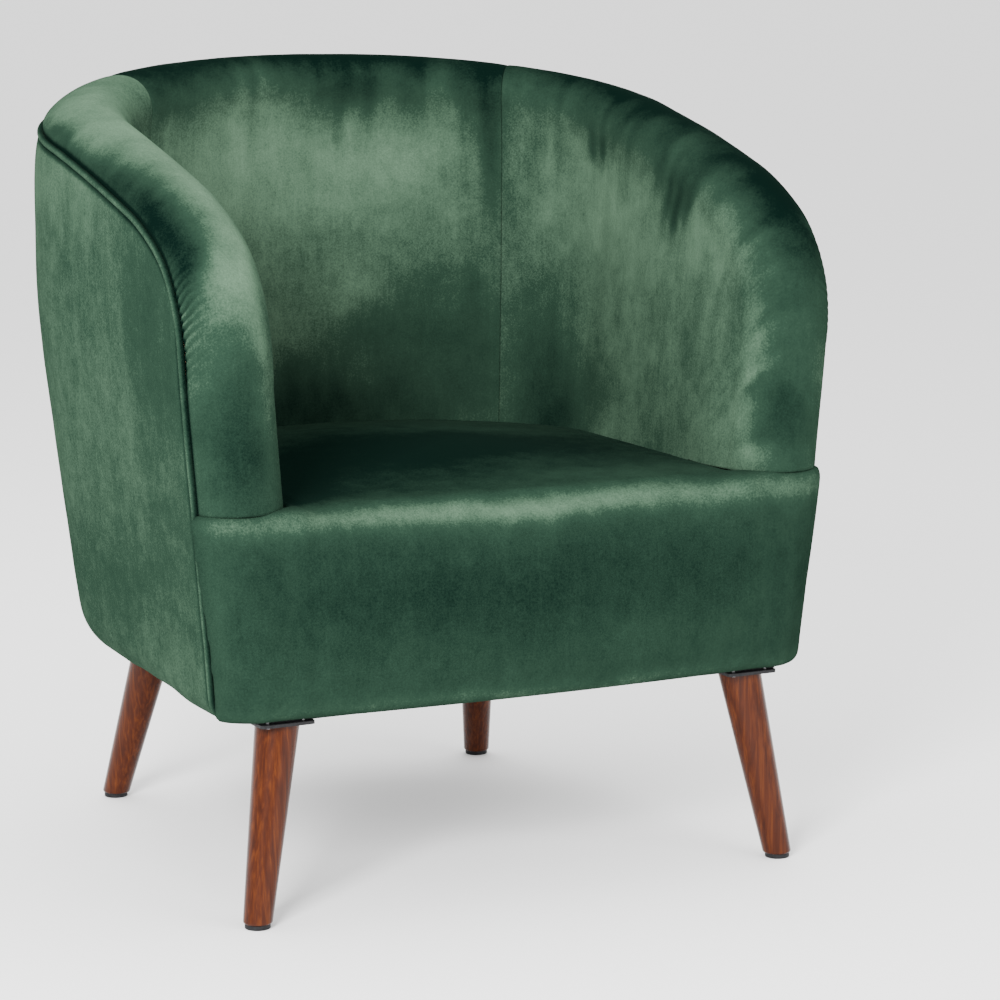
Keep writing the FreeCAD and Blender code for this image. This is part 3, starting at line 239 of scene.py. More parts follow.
def flat_cloud(across, down, seed):
    return cloud(np.stack([across, down, 0 * across], -1), 1.0, seed)


# Mesh helpers

def shade_smooth(mesh):
    mesh.polygons.foreach_set("use_smooth", [True] * len(mesh.polygons))


def make_object(name, points, faces):
    """A velvet piece that faces outwards."""
    mesh = bpy.data.meshes.new(name)
    mesh.from_pydata((np.asarray(points, float) * MM).tolist(), [], faces)
    mesh.validate()
    shade_smooth(mesh)
    mesh.materials.append(velvet)
    obj = bpy.data.objects.new(name, mesh)
    bpy.context.scene.collection.objects.link(obj)
    face_outwards(obj)
    return obj


def grid_faces(rows, columns, start=0, flip=False):
    i = np.arange(rows - 1)[:, None]
    j = np.arange(columns - 1)[None, :]
    a = start + i * columns + j
    quads = np.stack([a, a + 1, a + columns + 1, a + columns], -1).reshape(-1, 4)
    return (quads[:, ::-1] if flip else quads).tolist()


def slab(front, back):
    """Closed solid between two grids of the same shape."""
    rows, columns = front.shape[:2]
    count = rows * columns
    points = np.concatenate([front.reshape(-1, 3), back.reshape(-1, 3)])
    faces = grid_faces(rows, columns) + grid_faces(rows, columns, count, True)
    index = np.arange(count).reshape(rows, columns)
    rim = [*index[0], *index[1:, -1], *index[-1, -2::-1], *index[-2:0:-1, 0]]
    for k in range(len(rim)):
        a, b = int(rim[k]), int(rim[(k + 1) % len(rim)])
        faces.append([b, a, a + count, b + count])
    return points, faces


def normals_of(grid):
    """Unit normals of a grid of points."""
    du = np.gradient(grid, axis=0)
    dv = np.gradient(grid, axis=1)
    n = np.cross(du, dv)
    return n / np.maximum(np.linalg.norm(n, axis=-1, keepdims=True), 1e-9)


def face_outwards(obj):
    bm = bmesh.new()
    bm.from_mesh(obj.data)
    bmesh.ops.recalc_face_normals(bm, faces=bm.faces)
    bm.to_mesh(obj.data)
    bm.free()


def read_points(mesh, what="co"):
    flat = np.zeros(len(mesh.vertices) * 3)
    mesh.vertices.foreach_get(what, flat)
    return flat.reshape(-1, 3)


def points_of(obj):
    return read_points(obj.data) / MM


def set_nap_and_painted_light(obj, values):
    """Stores the nap with its painted sheen and painted shade, from 0 dark to 1 light, at each
    point for the material.
    """
    layer = obj.data.attributes.new("nap_and_painted_light", "FLOAT", "POINT")
    layer.data.foreach_set("value", np.clip(values, 0, 1))


# Nap and painted light: patches of painted sheen and painted shade, such as the dark band along
# the top of the roll, laid over random tone. On the inner panels a patch is given by its place
# along the crest, its distance down from the piping, two radii and a strength.

PAINTED_LIGHT_BACK = [
    (0, 62, 900, 56, -0.55),
    (-60, 215, 210, 84, 0.24),
    (60, 180, 60, 40, 0.08),
    (150, 200, 60, 60, 0.08),
    (236, 150, 20, 80, -0.20),
    (60, 345, 50, 24, 0.10),
    (-120, 320, 70, 50, 0.06),
    (170, 390, 110, 60, -0.20),
    (-40, 466, 260, 30, -0.26),
    (-60, 380, 120, 50, 0.05),
]
PAINTED_LIGHT_RIGHT = [
    (420, 42, 330, 66, -0.66),
    (720, 48, 90, 44, -0.36),
    (258, 150, 14, 60, -0.10),
    (398, 142, 9, 20, -0.20),
    (424, 150, 10, 20, -0.24),
    (560, 130, 12, 24, -0.26),
    (588, 142, 11, 28, -0.32),
    (618, 140, 14, 30, -0.34),
    (646, 128, 11, 24, -0.20),
    (470, 190, 130, 50, 0.12),
    (700, 170, 110, 60, 0.12),
    (345, 385, 90, 80, -0.42),
    (290, 300, 60, 60, -0.12),
    (470, 330, 60, 40, -0.12),
    (600, 420, 160, 40, -0.16),
    (960, 60, 60, 34, -0.30),
    (880, 112, 120, 14, 0.10),
]
PAINTED_LIGHT_LEFT = [
    (-400, 60, 170, 60, 0.22),
    (-540, 72, 130, 36, 0.20),
    (-470, 4, 90, 12, -0.24),
    (-600, 12, 110, 20, -0.30),
    (-700, 18, 60, 22, -0.34),
    (-765, 24, 36, 20, -0.28),
    (-690, 80, 130, 26, 0.24),
    (-800, 60, 60, 28, 0.20),
    (-920, 52, 80, 34, -0.20),
    (-975, 60, 50, 50, -0.18),
    (-880, 84, 120, 10, 0.12),
]


# Painted shade in the groove on each side of the piping, taken off the nap.
WELT_SHADE = 0.55


def panel_nap_and_painted_light(marks, along, points, patches, base, ragged):
    """Nap with painted sheen and painted shade on an inner panel, with hand-brushed, ragged
    edges.
    """
    streak = flat_cloud(marks / 13.0, along / 95.0, 401)
    finger = flat_cloud(marks / 34.0, along / 150.0, 411)
    s = marks + 22 * clouds(points, 85, 421)
    e = along + ragged * (15 * finger + 8 * streak + 16 * clouds(points, 60, 431))
    value = np.full(marks.shape, base)
    for at_s, at_e, rs, re, strength in patches:
        value += strength * np.exp(-((s - at_s) / rs) ** 2 - ((e - at_e) / re) ** 2)
    value += 0.11 * clouds(points, 110, 441) + 0.07 * clouds(points, 26, 451)
    value += 0.05 * ragged * streak * bump_at(along, 130, 110)
    # Painted shade in the groove along the piping
    value -= WELT_SHADE * bump_at(along, 0, 3.0)
    return np.clip(value, 0, 1)


# Elsewhere a patch is given by its centre, three radii and a strength

# Seat: painted highlight along the front roll and the low roll, painted shade on the top toward
# the back, on the front face and in the pocket beside the left arm.
PAINTED_LIGHT_SEAT = [
    (0, -296, 384, 420, 22, 15, 0.41),
    (-200, -280, 392, 90, 26, 14, 0.12),
    (0, -70, 410, 300, 170, 50, -0.40),
    (-220, -150, 400, 70, 130, 40, -0.25),
    (150, -235, 402, 130, 30, 16, 0.14),
    (60, -160, 410, 60, 34, 30, 0.10),
    (0, -318, 300, 420, 30, 50, -0.12),
    (0, -310, 203, 420, 60, 9, 0.16),
    (-322, -285, 300, 12, 30, 90, 0.10),
    (100, 40, 412, 120, 40, 30, 0.12),
    (-232, -236, 398, 34, 26, 16, -0.30),
    (0, -320, 320, 420, 20, 40, -0.05),
]
# Outer cover: a band of painted sheen and patches of painted shade on the left side.
PAINTED_LIGHT_OUTER = [
    (-350, 40, 690, 60, 160, 60, 0.12),
    (-340, -200, 560, 60, 60, 120, -0.12),
    (-335, -60, 300, 60, 200, 60, -0.08),
]


# The patches paint sheen and shade onto the nap; the clouds add random tone.
def nap_and_painted_light(points, patches, base, warp=22, uneven=1.0):
    warped = points + warp * drift(points, 70, 11)
    value = np.full(len(points), base)
    for x, y, z, rx, ry, rz, strength in patches:
        off = (warped - (x, y, z)) / (rx, ry, rz)
        value += strength * np.exp(-(off ** 2).sum(-1))
    value += uneven * (0.09 * clouds(points, 120, 41) + 0.06 * clouds(points, 28, 51))
    value += uneven * 0.05 * cloud(points * (1, 1, 0.12), 16, 61)
    return np.clip(value, 0, 1)


# Materials

def node(tree, kind, **settings):
    made = tree.nodes.new(kind)
    for key, value in settings.items():
        if key in made.inputs:
            made.inputs[key].default_value = value
        else:
            setattr(made, key, value)
    return made


def principled(name, **settings):
    material = bpy.data.materials.new(name)
    material.use_nodes = True
    tree = material.node_tree
    shader = tree.nodes["Principled BSDF"]
    for key, value in settings.items():
        shader.inputs[key.replace("_", " ")].default_value = value
    return material, tree, shader


def ramp(tree, source, stops):
    made = tree.nodes.new("ShaderNodeValToRGB")
    elements = made.color_ramp.elements
    while len(elements) < len(stops):
        elements.new(0.5)
    for element, (place, colour) in zip(elements, stops):
        element.position = place
        element.color = (*colour, 1)
    tree.links.new(source, made.inputs["Fac"])
    return made.outputs["Color"]


def noise_texture(tree, coords, scale, detail=4.0, roughness=0.55, distortion=0.0):
    made = node(tree, "ShaderNodeTexNoise", Scale=scale, Detail=detail, Roughness=roughness,
                Distortion=distortion)
    tree.links.new(coords, made.inputs["Vector"])
    return made.outputs["Fac"]


def math_node(tree, operation, first, second):
    made = node(tree, "ShaderNodeMath", operation=operation)
    for slot_index, value in enumerate((first, second)):
        if isinstance(value, (int, float)):
            made.inputs[slot_index].default_value = value
        else:
            tree.links.new(value, made.inputs[slot_index])
    return made.outputs[0]


def scaled(tree, value, amount):
    return math_node(tree, "MULTIPLY", value, amount)


def add_noise(tree, value, noise, amount):
    """Adds a noise that swings evenly about zero."""
    swing = scaled(tree, math_node(tree, "SUBTRACT", noise, 0.5), amount)
    return math_node(tree, "ADD", value, swing)


def bump(tree, shader, height, strength, distance):
    made = node(tree, "ShaderNodeBump", Strength=strength, Distance=distance)
    tree.links.new(height, made.inputs["Height"])
    tree.links.new(made.outputs["Normal"], shader.inputs["Normal"])


def object_coords(tree, stretch=None):
    coords = tree.nodes.new("ShaderNodeTexCoord").outputs["Object"]
    if stretch is None:
        return coords
    mapping = tree.nodes.new("ShaderNodeMapping")
    mapping.inputs["Scale"].default_value = stretch
    tree.links.new(coords, mapping.inputs["Vector"])
    return mapping.outputs["Vector"]


# Ramp colours: painted shade, plain velvet and painted sheen.
VELVET_SHADE = (0.0012, 0.0050, 0.0037)
VELVET_MID = (0.0125, 0.0280, 0.0180)
VELVET_SHEEN = (0.0780, 0.1340, 0.0860)


def make_velvet():
    """Velvet whose colour follows the stored nap with its painted sheen and painted shade, with
    brushed, combed and pile noise.
    """
    material, tree, shader = principled(
        "velvet", Roughness=0.85, Specular_IOR_Level=0.0, Sheen_Weight=0.008,
        Sheen_Roughness=0.4, Sheen_Tint=(0.42, 0.72, 0.52, 1))
    coords = object_coords(tree)
    layer = node(tree, "ShaderNodeAttribute", attribute_name="nap_and_painted_light")
    brushed = noise_texture(tree, coords, 60.0, 6.0, 0.65, 0.4)
    combed = noise_texture(tree, object_coords(tree, (260, 260, 34)), 1.0, 4.0, 0.6)
    pile = noise_texture(tree, coords, 560.0, 4.0, 0.7)
    value = layer.outputs["Fac"]
    for noise, amount in ((brushed, 0.22), (combed, 0.12), (pile, 0.46)):
        value = add_noise(tree, value, noise, amount)
    colour = ramp(tree, value, [(0.05, VELVET_SHADE), (0.5, VELVET_MID), (1.0, VELVET_SHEEN)])
    tree.links.new(colour, shader.inputs["Base Color"])
    height = math_node(tree, "ADD", scaled(tree, brushed, 0.6), scaled(tree, pile, 0.4))
    bump(tree, shader, height, strength=0.22, distance=0.0011)
    return material


def make_wood(name, dark, mid, light, roughness, coat):
    material, tree, shader = principled(name, Roughness=roughness, Coat_Weight=coat,
                                        Coat_Roughness=0.12, Specular_IOR_Level=0.1)
    along = object_coords(tree, (70, 70, 3.2))
    grain = noise_texture(tree, along, 3.4, 8.0, 0.6, 0.8)
    streak = noise_texture(tree, object_coords(tree, (420, 420, 9)), 1.0, 4.0, 0.6)
    value = math_node(tree, "ADD", scaled(tree, grain, 0.75), scaled(tree, streak, 0.3))
    colour = ramp(tree, value, [(0.3, dark), (0.52, mid), (0.78, light)])
    tree.links.new(colour, shader.inputs["Base Color"])
    bump(tree, shader, streak, strength=0.05, distance=0.0004)
    return material


def make_plain(name, dark, light, scale, roughness, strength, distance=0.0004, metallic=0.0):
    material, tree, shader = principled(name, Roughness=roughness, Metallic=metallic,
                                        Specular_IOR_Level=0.15)
    mottle = noise_texture(tree, object_coords(tree), scale, 6.0, 0.6)
    colour = ramp(tree, mottle, [(0.32, dark), (0.7, light)])
    tree.links.new(colour, shader.inputs["Base Color"])
    uneven = node(tree, "ShaderNodeMapRange",
                  **{"To Min": roughness - 0.08, "To Max": roughness + 0.1})
    tree.links.new(mottle, uneven.inputs["Value"])
    tree.links.new(uneven.outputs["Result"], shader.inputs["Roughness"])
    bump(tree, shader, mottle, strength, distance)
    return material


WOODS = [
    ("leg_wood", (0.012, 0.0019, 0.0004), (0.036, 0.0066, 0.0009), (0.092, 0.0225, 0.0028),
     0.25, 0.1),
    ("frame_wood", (0.34, 0.21, 0.11), (0.52, 0.36, 0.20), (0.66, 0.49, 0.30), 0.6, 0.0),
]
PLAINS = [
    ("black_metal", (0.004, 0.004, 0.0045), (0.011, 0.011, 0.012), 300, 0.5, 0.12),
    ("glide_plastic", (0.004, 0.004, 0.0045), (0.011, 0.011, 0.012), 420, 0.55, 0.2),
    ("spring_steel", (0.24, 0.24, 0.25), (0.42, 0.42, 0.43), 160, 0.36, 0.08, 0.0004, 1.0),
    ("dust_cloth", (0.008, 0.008, 0.009), (0.028, 0.028, 0.029), 900, 0.9, 0.5),
    ("board", (0.22, 0.14, 0.08), (0.38, 0.26, 0.16), 220, 0.85, 0.3),
    ("felt", (0.14, 0.14, 0.135), (0.30, 0.295, 0.28), 380, 0.95, 0.6, 0.001),
    ("foam", (0.58, 0.50, 0.30), (0.78, 0.72, 0.52), 520, 0.9, 0.6, 0.0008),
]
velvet = make_velvet()
FINISHES = {"velvet": velvet}
FINISHES.update((wood[0], make_wood(*wood)) for wood in WOODS)
FINISHES.update((plain[0], make_plain(*plain)) for plain in PLAINS)
for entry in frame["record"]["subparts"]:
    shape = nodes[entry["node"]]
    shape.data.materials.clear()
    shape.data.materials.append(FINISHES[entry["material_slot"]])


# Inner panels: fabric and padding over the roll and down the inside

UPRIGHT_END = SEAM_S + 13         # below it the panel lines start to fan out
FRAME_DROP = 48.3                 # top of the frame below the crest
FRAME_DEPTH = 41.9                # inner face of the frame
BOARD_SIDE = 12.0                 # inner face of the board
ROLL_R = (CROWN_IN ** 2 + OUTER_DROP ** 2) / (2 * OUTER_DROP)
ROLL_TURN = math.asin(CROWN_IN / ROLL_R)
SEAM_MARK = CROWN_R * math.asin(SEAM_S / CROWN_R)


def foot_point(distance):
    """Where the line down from a mark on the crest meets the foot of the panel."""
    station, z, slope = crest(distance)
    fan = CREST_L - UPRIGHT_END
    past = np.maximum(distance - UPRIGHT_END, 0)
    start = crest(UPRIGHT_END)[0]
    s = np.where(distance <= UPRIGHT_END, station, start + past - past ** 2 / (2 * fan))
    return s, PAD_FOOT + (ARM_FOOT - PAD_FOOT) * (past / fan) ** 3


def fan_points(marks, drops, depths):
    """Grid of wall points: marks are signed distances along the crest."""
    side = np.where(marks < 0, -1.0, 1.0)[:, None]
    away = np.abs(marks)
    station, z, slope = crest(away)
    foot_s, foot_z = foot_point(away)
    run_s, run_z = foot_s - station, foot_z - z
    length = np.hypot(run_s, run_z)
    step_s, step_z = run_s / length, run_z / length
    square = -step_s * np.sin(slope) - step_z * np.cos(slope)
    foot_drop = length * square
    drop = drops(foot_drop[:, None])
    run = drop / square[:, None]
    s = station[:, None] + step_s[:, None] * run
    height = z[:, None] + step_z[:, None] * run
    return wall(side * s, height, np.broadcast_to(depths, s.shape))


ROLL_STEPS = 30
INNER_STEPS = 22
FACE_STEPS = 86


def panel_profile():
    """Drop and depth of the velvet's surface, as functions of the foot's drop."""
    a = ROLL_TURN * (1 - np.linspace(0, 1, ROLL_STEPS, endpoint=False) ** 1.5)
    outer = (ROLL_R - ROLL_R * np.cos(a), CROWN_IN - ROLL_R * np.sin(a))
    b = np.linspace(0, math.pi / 2, INNER_STEPS, endpoint=False)
    inner = (INNER_DROP * (1 - np.cos(b)), CROWN_IN + (WALL - CROWN_IN) * np.sin(b))
    share = np.linspace(0, 1, FACE_STEPS)
    fullness = 5 * np.sin(math.pi * share)
    fixed = np.concatenate([outer[0], inner[0]])
    depth = np.concatenate([outer[1], inner[1], WALL + fullness])

    def drops(foot_drop):
        face = INNER_DROP + (foot_drop - INNER_DROP) * share[None, :]
        return np.concatenate([np.broadcast_to(fixed, (len(foot_drop), len(fixed))), face], 1)

    return drops, depth


def hidden_profile():
    """The hidden side of the same panel, against the frame."""
    drops, depth = panel_profile()
    hidden = np.where(depth < FRAME_DEPTH, np.maximum(depth, BOARD_SIDE), FRAME_DEPTH)
    return lambda foot_drop: np.maximum(drops(foot_drop), FRAME_DROP), hidden


def lengths_along(line):
    """Distance of each point of a line from its start."""
    return np.concatenate([[0], np.cumsum(np.linalg.norm(np.diff(line, axis=0), axis=1))])


BEND_MARK = CROWN_L + SIDE_L + 0.55 * FRONT_L
PLEAT = 8.5                       # width of a gather
RIPPLE = 7.4                      # width of a ripple
MIDDLE = np.array([0, 0, 560.0])


def make_panel(name, marks, replaced, patches, seed, base, ragged=1.0):
    front = fan_points(marks, *panel_profile())
    back = fan_points(marks, *hidden_profile())
    out = normals_of(front)
    half = len(marks) // 2
    if ((MIDDLE - front[half, -40]) * out[half, -40]).sum() < 0:
        out = -out
    along = lengths_along(front[half])
    edge_gap = along[None, :]
    push = np.zeros(front.shape[:2])
    # Drawn in along the piping
    push -= 2.4 * bump_at(edge_gap, 0, 3.2) + 0.7 * bump_at(edge_gap, 0, 9.0)
    # Sewn seams between the panels
    for seam in (-SEAM_MARK, SEAM_MARK):
        off = marks[:, None] - seam
        push -= 0.5 * bump_at(off, 0, 1.3) + 0.6 * bump_at(off, 0, 9.0)
    # Gathers beside the piping where it turns down the arm front
    away = np.abs(marks)[:, None]
    wobble = 2.2 * clouds(front, 30, seed + 3)
    reach = 21.0 + 6.0 * flat_cloud(away / 9.0, 0 * away, seed + 9)
    gather = bump_at(away, BEND_MARK, 46) * bump_at(edge_gap, 0, reach)
    pleat = np.sin(away * 2 * math.pi / PLEAT + 1.9 * wobble)
    push += 1.25 * gather * (pleat - 0.3 * pleat ** 2)
    # Fine ripples on the inside of the bend, on the right arm alone
    if marks[-1] > SEAM_MARK + 1:
        inner_edge = along[ROLL_STEPS + INNER_STEPS - 6]
        ripple = bump_at(away, BEND_MARK + 4, 56) * bump_at(edge_gap, inner_edge - 12, 24)
        push += 0.5 * ripple * np.sin(away * 2 * math.pi / RIPPLE + 1.4 * wobble)
    # Hand-built unevenness
    push += 1.1 * clouds(front, 130, seed) + 0.35 * clouds(front, 34, seed + 7)
    front = front + out * push[..., None]
    obj = make_object(name, *slab(front, back))
    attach(obj, "root")
    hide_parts(*replaced)
    grid_marks = np.broadcast_to(marks[:, None], push.shape)
    grid_along = np.broadcast_to(edge_gap, push.shape)
    # The stored values carry painted sheen and shade, with painted light on the ridges of the
    # gathers and painted shade in their folds.
    value = panel_nap_and_painted_light(grid_marks, grid_along, front, patches, base, ragged)
    set_nap_and_painted_light(obj, np.tile((value + 0.14 * gather * pleat).reshape(-1), 2))


def spread(start, stop, step, extra=()):
    """Marks about a step apart, with some more among them."""
    count = max(int(abs(stop - start) / step), 2)
    marks = set(np.linspace(start, stop, count + 1).round(3))
    marks.update(extra)
    return np.array(sorted(marks))


def seam_rows(at, sign):
    """Close rows beside a seam, so that it can turn in sharply."""
    return [round(at + sign * d, 3) for d in (0.3, 0.8, 1.4, 2.2, 3.2, 4.4)]


SEAM_MARGIN = 6
FINE_FROM, FINE_TO = 735, 880
back_marks = spread(SEAM_MARGIN - SEAM_MARK, SEAM_MARK - SEAM_MARGIN, 6.0,
                    seam_rows(SEAM_MARK, -1) + seam_rows(-SEAM_MARK, 1))
arm_marks = np.unique(np.concatenate([
    spread(SEAM_MARK + SEAM_MARGIN, FINE_FROM, 3.6, seam_rows(SEAM_MARK, 1)),
    spread(FINE_FROM, FINE_TO, 1.3),
    spread(FINE_TO, CREST_L, 3.2)]))
make_panel("inner_back", back_marks, ["inner_back_cover", "back_pad"],
           PAINTED_LIGHT_BACK, seed=100, base=0.53)
make_panel("inner_arm_right", arm_marks, ["inner_arm_cover_right", "arm_pad_right"],
           PAINTED_LIGHT_RIGHT, seed=130, base=0.60)
make_panel("inner_arm_left", -arm_marks[::-1], ["inner_arm_cover_left", "arm_pad_left"],
           PAINTED_LIGHT_LEFT, seed=160, base=0.54, ragged=0.35)


# Outer cover: from the piping down to the base and under it

COVER_DROP = WELT_DROP + 0.6
COVER_THICK = 2.0
COVER_PROUD = 1.2                 # cloth outside the CAD solid
COVER_DEEPEST = -1.6              # never down to the board
ROUND_GAIN = 34
ROUND_FROM = 190


def base_round(station):
    """Radius of the turn under the base. It is widest at the back corners."""
    along = np.abs(station)
    widest = (BACK_END + CORNER_END) / 2
    rise = CORNER_ROUND + ROUND_GAIN * ease(ROUND_FROM, widest, along)
    fall = CORNER_ROUND + ROUND_GAIN * (1 - ease(widest, ARM_END, along))
    return np.where(along < widest, rise, fall)


def outer_stations():
    """Stations of the cover's columns, closer beside the piping at the front."""
    marks = np.concatenate([np.arange(0, CROWN_L, 7.0),
                            CROWN_L + np.linspace(0, SIDE_L, 12, endpoint=False),
                            CROWN_L + SIDE_L + np.linspace(0, FRONT_L, 30)])
    station, _, slope = crest(marks)
    right = station - COVER_DROP * np.sin(slope)
    last = right[-1]
    close = [last - 0.7 * np.arange(0, 22), last - np.arange(16, 60, 3)]
    right = np.unique(np.concatenate([right, *close]))
    return np.concatenate([-right[:0:-1], right])


def outer_grid(depth):
    """Points, stations and heights of the cover at a depth, from the piping down and under."""
    stations = outer_stations()[:, None]
    top = crest_height(stations, COVER_DROP)
    radius = base_round(stations)
    start = BASE + radius
    share = np.linspace(0, 1, 110)[None, :] ** 1.5
    turn = np.linspace(0, math.pi / 2, 15)[None, 1:]
    lip = np.linspace(0, COVER_LIP, 5)[None, 1:]
    z = np.concatenate([top + (start - top) * share,
                        start - (radius - depth) * np.sin(turn),
                        np.full((len(stations), lip.size), BASE + depth)], 1)
    inset = np.concatenate([np.full((len(stations), share.size), depth),
                            radius - (radius - depth) * np.cos(turn),
                            radius + lip], 1)
    s = np.broadcast_to(stations, z.shape)
    return wall(s, z, inset), s, z


def make_outer_cover():
    outer, s, z = outer_grid(0.0)
    inner = outer_grid(COVER_THICK)[0]
    out = normals_of(outer)
    if out[len(outer) // 2, 20, 1] < 0:
        out = -out
    below = crest_height(s, COVER_DROP) - z
    front_gap = (ARM_END - COVER_DROP) - np.abs(s)
    near_welt = np.maximum(np.minimum(below, front_gap) - WELT_R, 0)
    push = COVER_PROUD - 2.6 * bump_at(near_welt, 0, 2.2) - 0.7 * bump_at(near_welt, 0, 9.0)
    # Slight pulls near the base and clouds of unevenness, away from the piping
    low = bump_at(z - BASE, 20, 70.0)
    folds = 1.3 * low * cloud(outer * (1, 1, 0.25), 62, 210)
    folds += 0.6 * low * cloud(outer * (1, 1, 0.2), 27, 220)
    folds += 1.2 * clouds(outer, 190, 230) + 0.3 * clouds(outer, 40, 240)
    loose = 1 - bump_at(near_welt, 0, 14.0)
    push = np.maximum(push + folds * loose, COVER_DEEPEST)
    points, faces = slab(outer + out * push[..., None], inner)
    outer_cover = make_object("outer_velvet", points, faces)
    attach(outer_cover, "root")
    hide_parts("outer_cover")
    # Painted shade in the groove along the piping, under the painted sheen and shade of the outer
    # patches
    shade = WELT_SHADE * np.tile(bump_at(near_welt, 0, 3.2).reshape(-1), 2)
    set_nap_and_painted_light(outer_cover, nap_and_painted_light(points, PAINTED_LIGHT_OUTER, base=0.56, warp=22, uneven=0.6) - shade)
    cut_wide = 2 * float(outer_stations()[-1]) * MM + 0.002


make_outer_cover()


# Piping: a velvet-covered cord, with its seam drawn in

CORD_SIDES = 18
CORD_STEP = 2.5


def welt_line():
    """Centre line of the cord: along the roll, down the arm fronts and under the base."""
    front = CROWN_L + SIDE_L
    marks = np.concatenate([np.linspace(0, front, 160, endpoint=False),
                            front + np.linspace(0, FRONT_L, 40, endpoint=False)])
    station, z, slope = crest(marks)
    start = BASE + CORNER_ROUND
    down = np.linspace(FRONT_Z, start, 90)
    turn = np.radians(np.linspace(6, 62, 10))
    turn_r = CORNER_ROUND - WELT_INSET
    s = np.concatenate([station - WELT_DROP * np.sin(slope),
                        np.full(len(down) + len(turn), ARM_END - WELT_DROP)])
    height = np.concatenate([z - WELT_DROP * np.cos(slope), down, start - turn_r * np.sin(turn)])
    depth = np.concatenate([np.full(len(marks) + len(down), WELT_INSET),
                            CORNER_ROUND - turn_r * np.cos(turn)])
    right = wall(s, height, depth)
    left = right[:0:-1] * (-1, 1, 1)
    return np.concatenate([left, right])


def resample(line, step):
    length = lengths_along(line)
    marks = np.linspace(0, length[-1], int(length[-1] / step) + 1)
    return np.stack([np.interp(marks, length, line[:, k]) for k in range(3)], -1)


def ring_faces(rings, sides):
    """Faces between closed rings of points that follow each other."""
    faces = []
    for k in range(rings - 1):
        for j in range(sides):
            a, b = k * sides + j, k * sides + (j + 1) % sides
            faces.append([a, b, b + sides, a + sides])
    return faces


def tube(line, radii, sides):
    """Closed tube round a line, with a radius for each point."""
    run = np.gradient(line, axis=0)
    run /= np.linalg.norm(run, axis=1, keepdims=True)
    up = np.array([0.0, 0.0, 1.0])
    side = np.cross(run[0], up)
    side /= np.linalg.norm(side)
    angles = np.linspace(0, 2 * math.pi, sides, endpoint=False)
    rings = []
    for k in range(len(line)):
        side = side - run[k] * (side @ run[k])
        side /= np.linalg.norm(side)
        other = np.cross(run[k], side)
        spoke = np.cos(angles)[:, None] * side + np.sin(angles)[:, None] * other
        rings.append(line[k] + radii[k] * spoke)
    points = np.concatenate(rings)
    faces = ring_faces(len(line), sides)
    faces.append(list(range(sides))[::-1])
    faces.append([len(points) - sides + j for j in range(sides)])
    return points, faces


def make_piping():
    line = resample(welt_line(), CORD_STEP)
    line = line + 0.35 * drift(line, 45, 301)
    radii = WELT_R * (0.97 + 0.03 * clouds(line, 16, 331))
    points, faces = tube(line, radii, CORD_SIDES)
    obj = make_object("piping_velvet", points, faces)
    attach(obj, "root")
    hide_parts("piping")
    # Painted highlight on the side that faces out of the chair, painted shade where the cord
    # sinks in
    centre = np.repeat(line, CORD_SIDES, axis=0)
    away = (points - centre) / WELT_R
    flat = centre * (1, 1, 0) - (0, CORNER_Y, 0)
    flat[:, 1] = np.maximum(flat[:, 1], 0)
    flat /= np.maximum(np.linalg.norm(flat, axis=1, keepdims=True), 1e-6)
    facing = (away * flat).sum(1)
    set_nap_and_painted_light(obj, nap_and_painted_light(points, [], base=0.16) + 0.42 * ease(0.1, 0.95, facing))


make_piping()


# Seat: bowed front, soft rolled edge and a crowned top that sinks into the tub

SEAT_BASE_HALF = 316.5            # half the width at the base
SEAT_WIDE_HALF = 345.0            # half the width higher up
SEAT_WIDE_Z = 370.0
SEAT_CORNER_R = 48.0
SEAT_CORNER_TURN = math.radians(65.4)
SEAT_FRONT = -317
SEAT_BOW = 17
SEAT_TOP_END = 210                # where the crowned top ends
SEAT_END = 230
FACE_BELLY = 3                    # bow of the front face from bottom to top
CROWN = 14                        # height of the crown over the middle
RISE = 5                          # rise of the top toward the back
BROW_R = 9.0                      # rounding of the top at the corners
CORNER_SHARE = 1 - SEAT_CORNER_R / SEAT_WIDE_HALF
SEAT_LAST = CORNER_SHARE + SEAT_CORNER_R * math.sin(SEAT_CORNER_TURN) / SEAT_WIDE_HALF
CHEEK_Y = ARM_FRONT_Y + WELT_DROP - WELT_R - 0.5


def seat_half_width(z):
    widening = (SEAT_WIDE_HALF - SEAT_BASE_HALF) * (z - BASE) / (SEAT_WIDE_Z - BASE)
    return SEAT_BASE_HALF + widening


def seat_side(share, z, turned):
    """X of the seat's surface. Round the corner it runs out to the piping."""
    x = share * seat_half_width(z)
    welt_z = min(max(z, BASE + 24), ARM_FOOT)
    pipe = abs(float(wall_point(ARM_END - WELT_DROP, welt_z, WELT_INSET)[0]))
    reach = max(pipe + 0.5 - SEAT_LAST * seat_half_width(z), 0)
    return x + math.copysign(turned ** 2 * reach, share)


